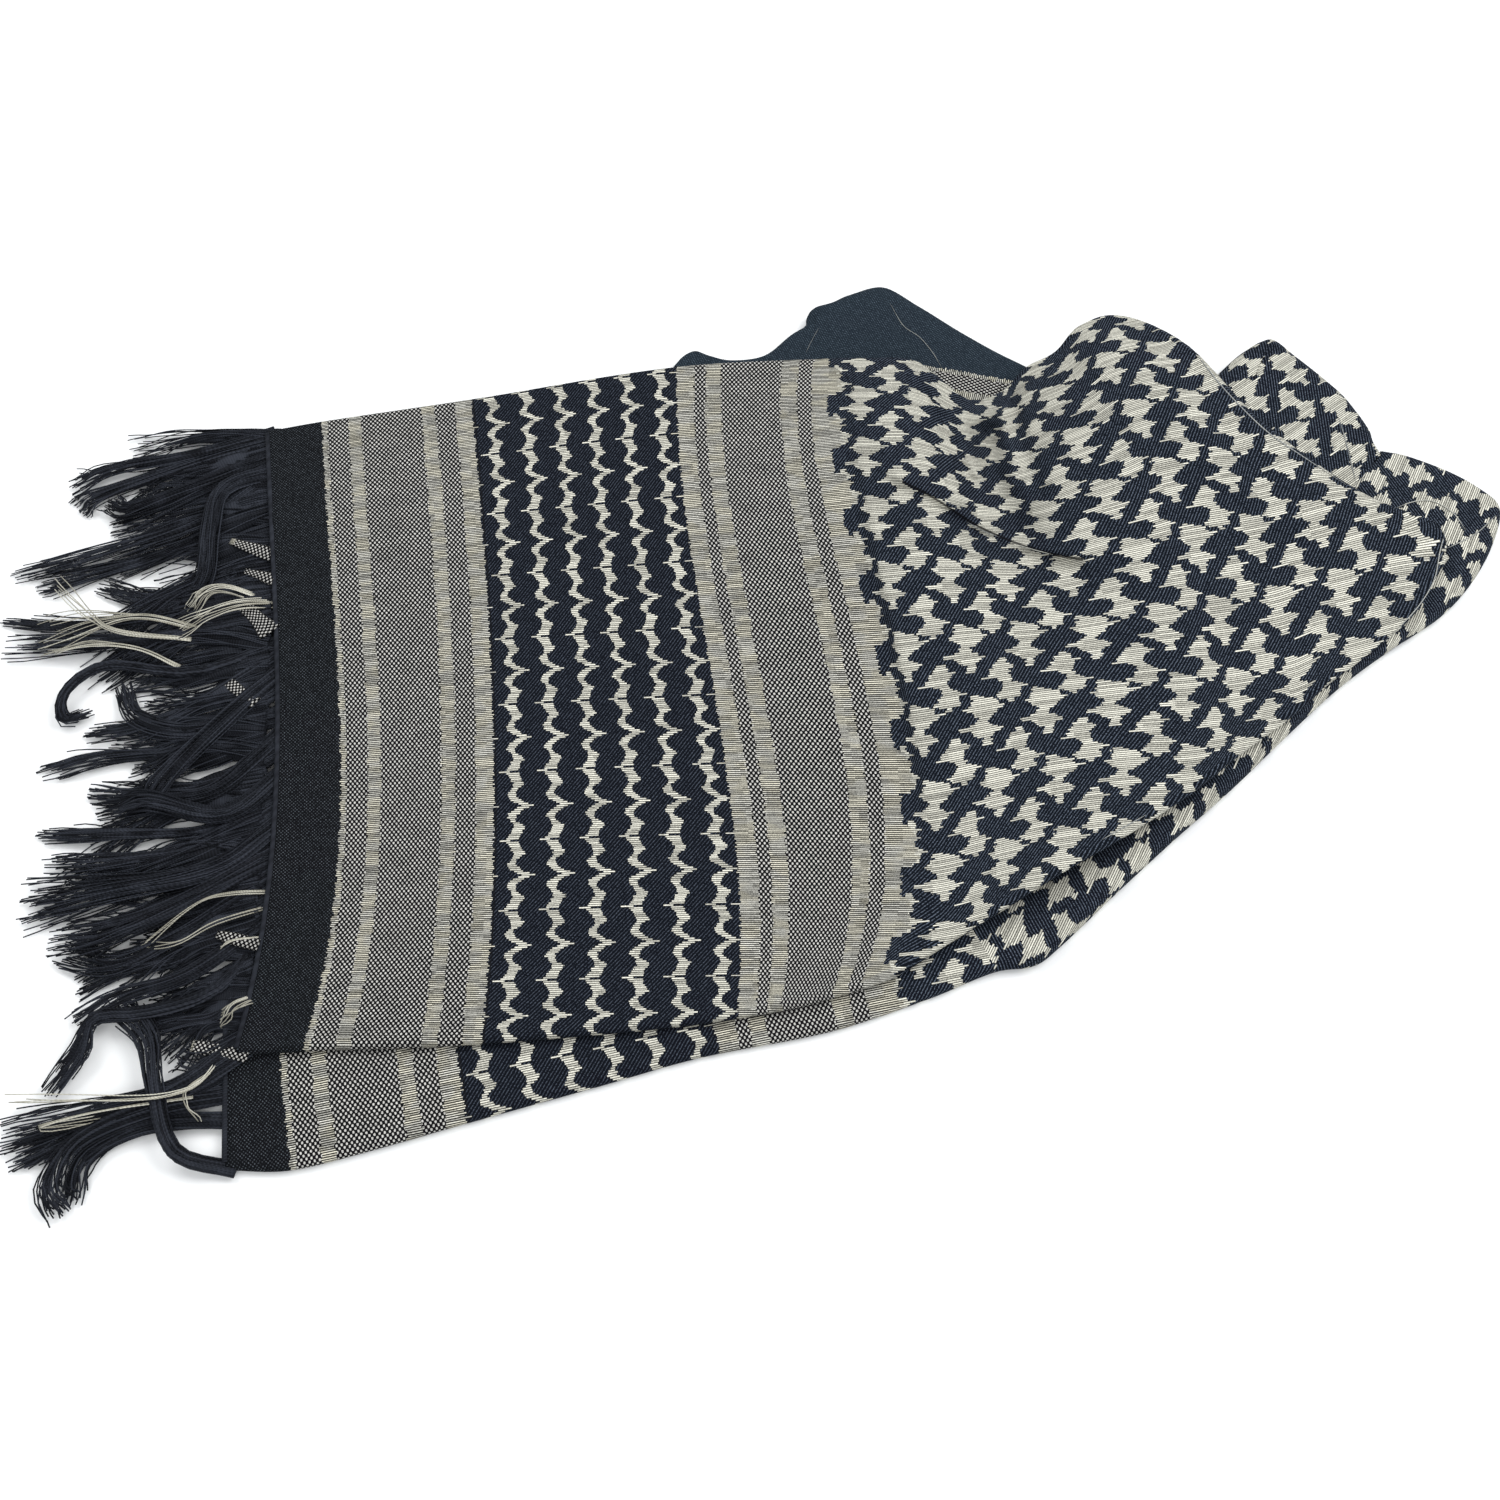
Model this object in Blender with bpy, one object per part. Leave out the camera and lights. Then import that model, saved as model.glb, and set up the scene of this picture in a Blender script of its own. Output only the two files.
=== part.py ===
"""A square woven scarf with knotted fringe, folded and laid on a table, its right half in a low heap.

Metres, +Z up. The fringed ends lie at -X and the folded end at +X. +Y is the far side.
Plan places are in millimetres, as they look from one eye above the near side. A point that
stands above the table moves along its line of sight, so the outline holds at any height.
"""

import math

import bpy
from mathutils import Vector

MM = 0.001

# The eye, and the plan spot under the middle of the whole part
EYE_HEIGHT = 710.5 * MM
EYE_BACK = 410.2 * MM
ORIGIN = Vector((-1.5 * MM, 28.0 * MM, 0.0))

# Cloth
WALL = 1.2 * MM
SEAM = 0.3 * MM
FOLD_RADIUS = 2.4 * MM
FOLD_LIP = 5.0 * MM
FOLD_STEPS = 4
LIP_SHARE = 0.12
LEAST_ACROSS = 0.35

# Top panel, one row for each section across it, from the fringed hem to the tip.
# cloth: distance from the hem along the cloth. rows: the pattern rows at the far and near edges.
# Then four points a third of the way apart, far edge to near edge: plan x, plan y, height.
# cloth, far row, near row, far edge, far third, near third, near edge
TOP_SECTIONS = (
    (0, 0.45, 10.5, (-234, 180, 9.9), (-216, 70, 9.9), (-203, -39, 9.9), (-206, -140, 9.9)),
    (27, 0.45, 10.45, (-208, 186, 9.9), (-190, 75, 9.9), (-175, -38, 9.9), (-179, -138, 9.9)),
    (96, 0.45, 10.35, (-137, 200, 9.9), (-121, 84, 9.9), (-110, -30, 9.9), (-108, -135, 9.9)),
    (199, 0.37, 10.06, (-36, 221, 9.9), (-26, 98, 10.5), (-9, -18, 10), (-5, -124, 9.9)),
    (274, 0.1, 9.55, (45, 226, 11), (50, 120, 14), (68, -2, 12), (56, -107, 9.9)),
    (285, 0.1, 9.1, (55, 226, 13), (58, 127, 20), (74, 10, 17), (80, -92, 12)),
    (313, 0.1, 8.8, (83, 224, 16), (85, 132, 22), (101, 23, 22), (105, -76, 15)),
    (341, 0.4, 8.4, (107, 200, 13), (110, 125, 17), (127, 34, 26), (131, -59, 20)),
    (369, 0.3, 8.0, (125, 205, 15.5), (135, 133, 21), (155, 48, 29), (159, -42, 22)),
    (397, 0.0, 7.5, (139, 224, 24), (161, 158, 31), (186, 69, 30), (187, -23, 20)),
    (426, -0.1, 7.02, (166, 247, 36), (190, 181, 37), (211, 87, 29), (214, -1, 18)),
    (454, 0.0, 6.55, (190, 253, 38), (217, 191, 36), (237, 104, 27), (243, 21, 17)),
    (468, 1.1, 6.35, (220, 234, 34), (236, 167, 33), (253, 99, 25), (258, 35, 16)),
    (482, 2.45, 6.15, (247, 189, 29), (261, 140, 28), (270, 91, 22), (271, 45, 15.5)),
    (510, 3.7, 5.65, (288, 144, 20), (295, 122, 19.5), (299, 96, 17), (304, 73, 14.5)),
    (538, 4.55, 4.9, (321, 125, 13), (325, 118, 13), (325, 109, 13), (321, 101, 13)),
)

# Soft ridges (height above 0) and troughs (below 0) of the top panel, in cloth distance and pattern row
# from cloth, from row, to cloth, to row, half width in mm, height in mm
TOP_FOLDS = (
    (0, 2.3, 225, 2.6, 26, 2.6),
    (40, 8.3, 210, 7.9, 22, 1.8),
    (292, 0.2, 305, 3.2, 11, 4.5),
    (322, 2.0, 372, 4.2, 12, -2.0),
    (430, 0.6, 470, 4.0, 14, 3.0),
    (300, 6.4, 420, 4.6, 16, 2.5),
    (330, 7.6, 400, 6.6, 10, -2.0),
)
ROW_LENGTH = 34.4
FOLD_FADE = 0.08
TOP_PLAIN_END = 274
TOP_STEPS_PLAIN = 12
TOP_STEPS_HEAP = 27
TOP_STEPS_ACROSS = 24

# Lower panel, one row for each section: it shows past the top panel's near edge, round the tip
# and back along the far side. outer: the silhouette. inner: its hidden edge under the top panel.
# outer x, outer y, inner x, inner y, height at the outer fold, height at the inner edge
LOWER_SECTIONS = (
    (-203, -188, -212, -122, 4.8, 4.8),
    (-178, -188, -189, -120, 4.8, 4.8),
    (-147, -180, -156, -118, 4.8, 4.8),
    (-114, -170, -120, -116, 4.8, 4.8),
    (-60, -154, -65, -112, 4.8, 4.8),
    (-20, -142, -25, -106, 4.8, 4.8),
    (32, -131, 27, -97, 4.8, 4.8),
    (72, -117, 60, -82, 4.8, 4.8),
    (100, -105, 84, -68, 6.6, 6.0),
    (117, -102, 99, -56, 9.0, 7.0),
    (130, -92, 113, -47, 10.0, 8.0),
    (153, -70, 135, -32, 10.0, 8.5),
    (181, -44, 163, -10, 10.0, 8.5),
    (208, -20, 190, 13, 10.0, 8.5),
    (236, 7, 217, 39, 10.0, 8.5),
    (263, 32, 243, 63, 9.5, 8.0),
    (289, 52, 262, 78, 9.0, 7.5),
    (315, 70, 276, 90, 8.5, 7.0),
    (333, 89, 284, 99, 8.0, 6.5),
    (347, 111, 288, 106, 7.8, 6.5),
    (354, 131, 290, 112, 7.8, 6.5),
    (346, 143, 288, 117, 7.8, 6.5),
    (333, 153, 284, 121, 8.2, 7.0),
    (315, 162, 279, 125, 9.0, 8.0),
    (303, 165, 274, 129, 9.5, 8.5),
)

# Far fold: the next fold of the heap, past the top panel's far edge, right to left
FAR_FOLD_SECTIONS = (
    (302, 166.6, 274, 130.2, 9.5, 8.5),
    (300.6, 171, 271, 136, 11.0, 10.5),
    (300, 177, 268, 140, 13.0, 13.0),
    (296, 187, 262, 145, 15.0, 15.0),
    (289, 200, 252, 152, 17.0, 17.0),
    (272, 221, 240, 162, 19.0, 19.0),
    (259, 234, 228, 172, 20.0, 20.0),
    (244, 226, 219, 176, 20.0, 20.0),
    (229, 211, 212, 178, 19.0, 20.0),
)

# Back border: the plain edge of the layer below, past the top panel's far edge, left to right
BACK_SECTIONS = (
    (-38, 219, -38, 198, 4.4, 4.6),
    (-33, 226, -30, 198, 4.6, 4.6),
    (-27, 229, -23, 198, 4.8, 4.6),
    (-20, 226, -16, 198, 4.6, 4.6),
    (-9, 223, -8, 198, 4.6, 4.6),
    (7, 226, 8, 200, 5.0, 4.6),
    (22, 242, 22, 202, 8.0, 4.8),
    (33, 256, 36, 203, 11.0, 5.0),
    (48, 264, 50, 203, 12.5, 5.2),
    (68, 270, 62, 201, 13.0, 5.2),
    (86, 257, 74, 197, 12.0, 5.2),
    (105, 241, 88, 188, 10.5, 5.0),
    (122, 228, 104, 176, 9.0, 5.0),
    (137, 218, 120, 176, 8.0, 5.0),
)
STRIP_STEPS = 5
STRIP_LIP_SHARE = 0.35
STRIP_FLAT_SHARE = 0.23
LOWER_PARTS = 2

# Hidden layers: how far they stay inside the top panel's edges, in mm, along the cloth from the hem.
# Where no lower strip covers them they come out to just inside the fold.
# cloth, inside the far edge, inside the near edge
HIDDEN_SECTIONS = (
    (4, 2.0, 30.0),
    (50, 2.0, 30.0),
    (100, 2.0, 32.0),
    (150, 2.0, 34.0),
    (178, 2.0, 34.0),
    (190, 28.0, 34.0),
    (230, 28.0, 34.0),
    (274, 30.0, 42.0),
    (300, 32.0, 48.0),
    (330, 34.0, 54.0),
    (360, 38.0, 60.0),
    (385, 30.0, 60.0),
    (405, 18.0, 60.0),
    (424, 9.0, 60.0),
)
HIDDEN_LAYERS = 3
HIDDEN_BULGE = 1.5 * MM
HIDDEN_STEPS_ACROSS = 14
HIDDEN_DROP = 2.6 * MM

# Fringe: each tassel is a knot on a strip along the hem, with its locks fanned out from it.
# row along the hem (0 far end, 1 near end), tip x, tip y, spread at the tips, bow, height it lies at
UPPER_TASSELS = (
    (0.035, -337, 130, 22, 8, 4.4),
    (0.10, -340, 104, 18, 8, 1.4),
    (0.17, -352, 82, 22, 6, 4.4),
    (0.24, -344, 62, 24, 4, 1.4),
    (0.31, -330, 46, 20, 0, 4.4),
    (0.38, -320, 26, 20, 8, 1.4),
    (0.45, -294, 12, 20, 4, 4.4),
    (0.52, -308, -12, 20, 2, 1.4),
    (0.59, -282, -28, 22, 2, 4.4),
    (0.66, -302, -50, 22, 6, 1.4),
    (0.73, -304, -76, 24, 4, 4.4),
    (0.80, -292, -98, 20, 2, 1.4),
    (0.865, -284, -124, 20, 0, 7.4),
    (0.925, -272, -150, 18, 2, 10.4),
    (0.975, -240, -172, 12, 4, 7.4),
)
LOWER_TASSELS = (
    (0.20, -288, -174, 24, 2, 1.4),
    (0.55, -266, -196, 18, 4, 4.4),
    (0.90, -240, -204, 10, 2, 1.4),
)
LOCKS_PER_TASSEL = 7
LOCK_STEPS = 5
LOCK_THICKNESS = 1.8 * MM
LOCK_FILL = 0.62
LOCK_EARLY = 0.12
LOCK_FALL_START = 0.08
LOCK_FALL_SPAN = 0.45
KNOT_WIDTH = 10.0 * MM
KNOT_HALF_HEIGHT = 1.7 * MM
STRIP_HALF_HEIGHT = 0.7 * MM
STRIP_DEPTH = 2.6 * MM
STRIP_END = 0.004
KNOT_SLOPE = 0.2
LOCK_LENGTHS = (0.90, 1.0, 0.93, 1.04, 0.96, 1.02, 0.88)

# Colours and finish of the solids: red, green, blue, roughness
CLOTH_COLOUR = (0.30, 0.30, 0.28, 0.9)
BORDER_COLOUR = (0.012, 0.015, 0.022, 0.9)
FRINGE_COLOUR = (0.010, 0.012, 0.018, 0.85)


def clear_scene():
    for thing in list(bpy.data.objects):
        bpy.data.objects.remove(thing)


def cloth_material(name, colour):
    material = bpy.data.materials.new(name)
    material.use_nodes = True
    shader = material.node_tree.nodes["Principled BSDF"]
    red, green, blue, roughness = colour
    shader.inputs["Base Color"].default_value = (red, green, blue, 1.0)
    shader.inputs["Roughness"].default_value = roughness
    shader.inputs["Metallic"].default_value = 0.0
    return material


def raised(x, y, z):
    """The point at height z that is seen over the plan spot (x, y)."""
    share = z / EYE_HEIGHT
    return Vector((x * (1 - share), y - (y + EYE_BACK) * share, z)) - ORIGIN


def flat(row):
    """A section's numbers in one list."""
    numbers = []
    for item in row:
        numbers.extend(item if isinstance(item, tuple) else (item,))
    return numbers


def between_sections(rows, place):
    """Each column of a table at one place along its first column, on a smooth curve through the rows."""
    table = [flat(row) for row in rows]
    last = len(table) - 1
    index = 0
    while index < last - 1 and table[index + 1][0] < place:
        index += 1
    before, start = table[max(index - 1, 0)], table[index]
    end, after = table[index + 1], table[min(index + 2, last)]
    span = end[0] - start[0]
    share = min(max((place - start[0]) / span, 0.0), 1.0)
    start_span = end[0] - before[0]
    end_span = after[0] - start[0]
    values = []
    for column in range(1, len(start)):
        start_slope = (end[column] - before[column]) / start_span * span
        end_slope = (after[column] - start[column]) / end_span * span
        values.append(hermite(start[column], end[column], start_slope, end_slope, share))
    return values


def hermite(start, end, start_slope, end_slope, share):
    square, cube = share * share, share * share * share
    return (
        start * (2 * cube - 3 * square + 1)
        + end * (3 * square - 2 * cube)
        + start_slope * (cube - 2 * square + share)
        + end_slope * (cube - square)
    )


def smooth(share):
    share = min(max(share, 0.0), 1.0)
    return share * share * (3 - 2 * share)


def cubic_weights(share):
    """Weights of four points a third apart on the curve through them."""
    a, b, c, d = share, share - 1 / 3, share - 2 / 3, share - 1
    return (-4.5 * b * c * d, 13.5 * a * c * d, -13.5 * a * b * d, 4.5 * a * b * c)


def fold_height(cloth, row):
    """Height that the soft ridges and troughs add at one spot of the top panel, in mm."""
    total = 0.0
    for from_cloth, from_row, to_cloth, to_row, half_width, height in TOP_FOLDS:
        start = Vector((from_cloth, from_row * ROW_LENGTH))
        line = Vector((to_cloth, to_row * ROW_LENGTH)) - start
        spot = Vector((cloth, row * ROW_LENGTH)) - start
        share = spot.dot(line) / line.length_squared
        nearest = min(max(share, 0.0), 1.0)
        distance = (spot - line * nearest).length
        total += height * math.exp(-((distance / half_width) ** 2))
    return total


def top_point(cloth, share):
    """The top panel's outer face at one distance from the hem and one share of the way across."""
    values = between_sections(TOP_SECTIONS, cloth)
    far_row, near_row = values[0], values[1]
    x, y, z = (
        sum(weight * values[2 + 3 * i + axis] for i, weight in enumerate(cubic_weights(share)))
        for axis in range(3)
    )
    edge_fade = smooth(min(share, 1 - share) / FOLD_FADE)
    z += edge_fade * fold_height(cloth, far_row + (near_row - far_row) * share)
    return raised(x * MM, y * MM, z * MM)


def edge_outward(cloth, share):
    """The level direction out of the top panel at a point of its far or near edge."""
    step = 2.0
    low = max(cloth - step, TOP_SECTIONS[0][0])
    high = min(cloth + step, TOP_SECTIONS[-1][0])
    along = top_point(high, share) - top_point(low, share)
    outward = Vector((along.y, -along.x, 0)).normalized()
    inward = top_point(cloth, 0.5) - top_point(cloth, share)
    return -outward if outward.dot(inward) > 0 else outward


def fold_under(edge, outward, radius, lip):
    """Points of a rolled edge: half a turn out and down from the edge, then back under it."""
    points = []
    for step in range(1, FOLD_STEPS + 1):
        turn = math.pi * step / FOLD_STEPS
        down = Vector((0, 0, -radius * (1 - math.cos(turn))))
        points.append(edge + outward * radius * math.sin(turn) + down)
    points.append(points[-1] - outward * lip)
    return points


def top_cloth_places():
    """Distances from the hem of the top panel's sections, closer together in the heap."""
    end = TOP_SECTIONS[-1][0]
    plain = [TOP_PLAIN_END * i / TOP_STEPS_PLAIN for i in range(TOP_STEPS_PLAIN)]
    heap = [
        TOP_PLAIN_END + (end - TOP_PLAIN_END) * i / TOP_STEPS_HEAP
        for i in range(TOP_STEPS_HEAP + 1)
    ]
    return plain + heap


def top_limits(cloth):
    """Shares across at which the top panel's rolled edges begin, and the directions out of them."""
    width = (top_point(cloth, 1) - top_point(cloth, 0)).length
    across = (top_point(cloth, 1) - top_point(cloth, 0)).normalized()
    far_out = edge_outward(cloth, 0.0)
    near_out = edge_outward(cloth, 1.0)
    far_start = FOLD_RADIUS / max(-across.dot(far_out), LEAST_ACROSS) / width
    near_start = 1 - FOLD_RADIUS / max(across.dot(near_out), LEAST_ACROSS) / width
    return far_start, near_start, far_out, near_out


def top_section(cloth):
    """The top panel's outer points in one section, far lip to near lip."""
    far_start, near_start, far_out, near_out = top_limits(cloth)
    middle = [
        top_point(cloth, far_start + (near_start - far_start) * i / TOP_STEPS_ACROSS)
        for i in range(TOP_STEPS_ACROSS + 1)
    ]
    lip = min(FOLD_LIP, LIP_SHARE * (middle[-1] - middle[0]).length)
    far_fold = fold_under(middle[0], far_out, FOLD_RADIUS, lip)
    near_fold = fold_under(middle[-1], near_out, FOLD_RADIUS, lip)
    return far_fold[::-1] + middle + near_fold


def fine_rows(rows, parts):
    """The rows of a strip's table with others on a smooth curve between them."""
    numbered = [(index,) + row for index, row in enumerate(rows)]
    count = (len(rows) - 1) * parts
    return [between_sections(numbered, step / parts) for step in range(count + 1)]


def strip_section(rows, index):
    """One section of a folded strip, from its hidden inner edge over the crest and under."""
    outer_x, outer_y, inner_x, inner_y, crest, inner_height = rows[index]
    radius = crest / 2 * MM
    outer = raised(outer_x * MM, outer_y * MM, radius)
    inner = raised(inner_x * MM, inner_y * MM, inner_height * MM)
    before, after = rows[max(index - 1, 0)], rows[min(index + 1, len(rows) - 1)]
    along = Vector((after[0] - before[0], after[1] - before[1], 0)).normalized()
    outward = Vector((along.y, -along.x, 0))
    level = Vector((outer.x - inner.x, outer.y - inner.y, 0))
    if outward.dot(level) < 0:
        outward = -outward
    edge = outer - outward * radius
    edge.z = crest * MM
    top = []
    for step in range(STRIP_STEPS + 1):
        share = step / STRIP_STEPS
        point = inner.lerp(edge, share)
        rise = smooth((share - STRIP_FLAT_SHARE) / (1 - STRIP_FLAT_SHARE))
        point.z = (inner_height + (crest - inner_height) * rise) * MM
        top.append(point)
    lip = min(FOLD_LIP, STRIP_LIP_SHARE * level.length)
    return top + fold_under(edge, outward, radius, lip)


def face_normal(grid, i, j):
    """The direction out of a grid of points at one of them."""
    rows, columns = len(grid), len(grid[0])
    along = grid[min(i + 1, rows - 1)][j] - grid[max(i - 1, 0)][j]
    across = grid[i][min(j + 1, columns - 1)] - grid[i][max(j - 1, 0)]
    return across.cross(along).normalized()


def quad_rows(first, rows, columns, flipped):
    """Faces over a grid of vertices that starts at one index."""
    faces = []
    for i in range(rows - 1):
        for j in range(columns - 1):
            corner = first + i * columns + j
            face = (corner, corner + 1, corner + columns + 1, corner + columns)
            faces.append(face[::-1] if flipped else face)
    return faces


def make_object(name, vertices, faces, material):
    mesh = bpy.data.meshes.new(name)
    mesh.from_pydata([tuple(v) for v in vertices], [], faces)
    mesh.validate()
    mesh.shade_smooth()
    mesh.materials.append(material)
    thing = bpy.data.objects.new(name, mesh)
    bpy.context.collection.objects.link(thing)
    return thing


def cloth_wall(name, grid, material):
    """A closed wall of cloth from the grid of points of its outer face."""
    rows, columns = len(grid), len(grid[0])
    outer = [point for row in grid for point in row]
    inner = [
        grid[i][j] - face_normal(grid, i, j) * WALL for i in range(rows) for j in range(columns)
    ]
    count = rows * columns
    faces = quad_rows(0, rows, columns, False) + quad_rows(count, rows, columns, True)
    rim = [j for j in range(columns)]
    rim += [i * columns + columns - 1 for i in range(1, rows)]
    rim += [(rows - 1) * columns + j for j in range(columns - 2, -1, -1)]
    rim += [i * columns for i in range(rows - 2, 0, -1)]
    for here, there in zip(rim, rim[1:] + rim[:1]):
        faces.append((there, here, here + count, there + count))
    return make_object(name, outer + inner, faces, material)


def make_top_panel(material):
    grid = [top_section(cloth) for cloth in top_cloth_places()]
    return cloth_wall("top_panel", grid, material)


def make_strip(name, rows, material):
    grid = [strip_section(rows, index) for index in range(len(rows))]
    going = grid[1][0] - grid[0][0]
    across = grid[0][-1] - grid[0][0]
    if across.cross(going).z < 0:
        grid.reverse()
    return cloth_wall(name, grid, material)


def lowest_top(cloth, share, cloth_reach, share_reach):
    """The lowest height of the top panel's outer face around one spot."""
    end = TOP_SECTIONS[-1][0]
    heights = []
    for i in range(-2, 3):
        for j in range(-2, 3):
            near_cloth = min(max(cloth + cloth_reach * i / 2, 0), end)
            near_share = min(max(share + share_reach * j / 2, 0.0), 1.0)
            heights.append(top_point(near_cloth, near_share).z)
    return min(heights)


def layered_side(corner, outward, height):
    """Points down a side that shows the rounded edges of the layers inside."""
    points = []
    layer = height / HIDDEN_LAYERS
    for index in range(HIDDEN_LAYERS):
        top = height - layer * index
        for depth, bulge in ((0.2, 1.0), (0.8, 1.0), (1.0, 0.0)):
            point = corner + outward * HIDDEN_BULGE * bulge
            point.z = top - layer * depth
            points.append(point)
    return points


def hidden_section(index):
    """Top row, bottom row and far side of the hidden layers in one section."""
    cloth, far_inset, near_inset = HIDDEN_SECTIONS[index]
    before = HIDDEN_SECTIONS[max(index - 1, 0)][0]
    after = HIDDEN_SECTIONS[min(index + 1, len(HIDDEN_SECTIONS) - 1)][0]
    cloth_reach = max(after - cloth, cloth - before)
    start, end = top_point(cloth, 0), top_point(cloth, 1)
    width = (end - start).length
    far_share = (FOLD_RADIUS + far_inset * MM) / width
    past_lip = far_share + (FOLD_LIP + 2 * SEAM) / width
    near_share = 1 - near_inset * MM / width
    step = (near_share - past_lip) / (HIDDEN_STEPS_ACROSS - 1)
    under_lip = top_point(cloth, 0).z - 2 * FOLD_RADIUS - SEAM
    top, bottom = [], []
    for i in range(HIDDEN_STEPS_ACROSS + 1):
        share = past_lip + step * (i - 1) if i else far_share
        point = top_point(cloth, share)
        point.z = lowest_top(cloth, share, cloth_reach, step) - HIDDEN_DROP
        if i < 2:
            point.z = min(point.z, under_lip)
        top.append(point)
        bottom.append(Vector((point.x, point.y, 0)))
    outward = Vector((start.x - end.x, start.y - end.y, 0)).normalized()
    side = layered_side(top[0], outward, top[0].z)
    return top, bottom, side


def make_hidden_layers(material):
    """One rounded solid for the layers inside, flat below and layered along its far side."""
    loops = []
    for index in range(len(HIDDEN_SECTIONS)):
        top, bottom, side = hidden_section(index)
        side[-1] = bottom[0]
        loops.append(top[::-1] + side[:-1] + bottom)
    size = len(loops[0])
    vertices = [point for loop in loops for point in loop]
    faces = []
    for i in range(len(loops) - 1):
        for j in range(size):
            here, there = i * size + j, i * size + (j + 1) % size
            faces.append((here, here + size, there + size, there))
    steps = HIDDEN_STEPS_ACROSS
    side_count = size - 2 * (steps + 1)
    for first, flipped in ((0, False), ((len(loops) - 1) * size, True)):
        for i in range(steps):
            upper, lower = steps - i, steps + 1 + side_count + i
            cap = (first + upper, first + lower, first + lower + 1, first + upper - 1)
            faces.append(cap[::-1] if flipped else cap)
        end_face = [first + steps + j for j in range(side_count + 2)]
        faces.append(tuple(end_face[::-1]) if flipped else tuple(end_face))
    return make_object("hidden_layers", vertices, faces, material)


def add_lock(vertices, faces, root_ring, path, tip_room):
    """A four-sided lock out of one face of the strip. It fills part of its room, then runs to a point."""
    ring = list(root_ring)
    centre = sum((vertices[i] for i in ring), Vector()) / 4
    previous = centre
    root_line = path[0] - centre
    root_side = Vector((root_line.y, -root_line.x, 0)).normalized()
    reach = [(vertices[i] - centre).dot(root_side) for i in ring]
    root_room = max(reach) - min(reach)
    for step, point in enumerate(path[:-1]):
        share = (step + 1) / len(path)
        going = (path[step + 1] - previous).normalized()
        side = going.cross(Vector((0, 0, 1))).normalized()
        rise = side.cross(going).normalized()
        room = root_room + (tip_room - root_room) * share
        half_width = min(LOCK_FILL * room, LOCK_THICKNESS) / 2
        half_rise = LOCK_THICKNESS / 2
        corners = []
        for index in ring:
            place = vertices[index] - previous
            across = half_width if place.dot(side) > 0 else -half_width
            up = half_rise if place.dot(rise) > 0 else -half_rise
            corners.append(point + side * across + rise * up)
        first = len(vertices)
        vertices.extend(corners)
        new_ring = [first + i for i in range(4)]
        for i in range(4):
            j = (i + 1) % 4
            faces.append((ring[i], ring[j], new_ring[j], new_ring[i]))
        ring = new_ring
        previous = point
    tip = len(vertices)
    vertices.append(path[-1])
    for i in range(4):
        faces.append((ring[i], ring[(i + 1) % 4], tip))


def hem_frame(hem, share):
    """A point along the hem, and the level direction out of the cloth there."""
    place = share * (len(hem) - 1)
    index = min(int(place), len(hem) - 2)
    point = hem[index].lerp(hem[index + 1], place - index)
    along = hem[index + 1] - hem[index]
    return point, Vector((along.y, -along.x, 0)).normalized()


def strip_columns(tassels):
    """Shares along the hem of the strip's columns, and the tassel and lock that start in each."""
    columns = []
    for number, tassel in enumerate(tassels):
        for lock in range(LOCKS_PER_TASSEL + 1):
            offset = lock / LOCKS_PER_TASSEL - 0.5
            columns.append((tassel[0], offset, number, lock))
    return columns


def make_fringe(name, hem, tassels, material):
    """A strip just off the hem, thickened at each knot, with the locks growing out of it."""
    length = sum((b - a).length for a, b in zip(hem, hem[1:]))
    vertices, faces = [], []
    places = [(STRIP_END, STRIP_HALF_HEIGHT, None, None)]
    for centre, offset, number, lock in strip_columns(tassels):
        share = centre + offset * KNOT_WIDTH / length
        places.append((share, KNOT_HALF_HEIGHT, number, lock))
    places.append((1 - STRIP_END, STRIP_HALF_HEIGHT, None, None))
    spaced = []
    for here, there in zip(places, places[1:]):
        spaced.append(here)
        if here[2] is not None and there[2] is not None and here[2] != there[2]:
            for part in (KNOT_SLOPE, 1 - KNOT_SLOPE):
                share = here[0] + (there[0] - here[0]) * part
                spaced.append((share, STRIP_HALF_HEIGHT, None, None))
    spaced.append(places[-1])
    rings = []
    for share, half_height, _, _ in spaced:
        point, outward = hem_frame(hem, share)
        inside = point + outward * SEAM
        outside = inside + outward * STRIP_DEPTH
        middle = Vector((0, 0, -WALL / 2))
        up = Vector((0, 0, half_height))
        first = len(vertices)
        vertices.extend(
            (
                inside + middle + up,
                outside + middle + up,
                outside + middle,
                outside + middle - up,
                inside + middle - up,
            )
        )
        rings.append([first + i for i in range(5)])
    for index in range(len(rings) - 1):
        here, there = rings[index], rings[index + 1]
        number, lock = spaced[index][2], spaced[index][3]
        starts = number is not None and lock < LOCKS_PER_TASSEL
        for side in range(5):
            other = (side + 1) % 5
            face = (here[side], here[other], there[other], there[side])
            if starts and side == 1 + lock % 2:
                tassel = tassels[number]
                path = tassel_lock_path(vertices, face, hem, tassel, lock)
                add_lock(vertices, faces, face, path, tassel[3] * MM / (LOCKS_PER_TASSEL - 1))
            else:
                faces.append(face)
    faces.append(tuple(reversed(rings[0])))
    faces.append(tuple(rings[-1]))
    return make_object(name, vertices, faces, material)


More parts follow.
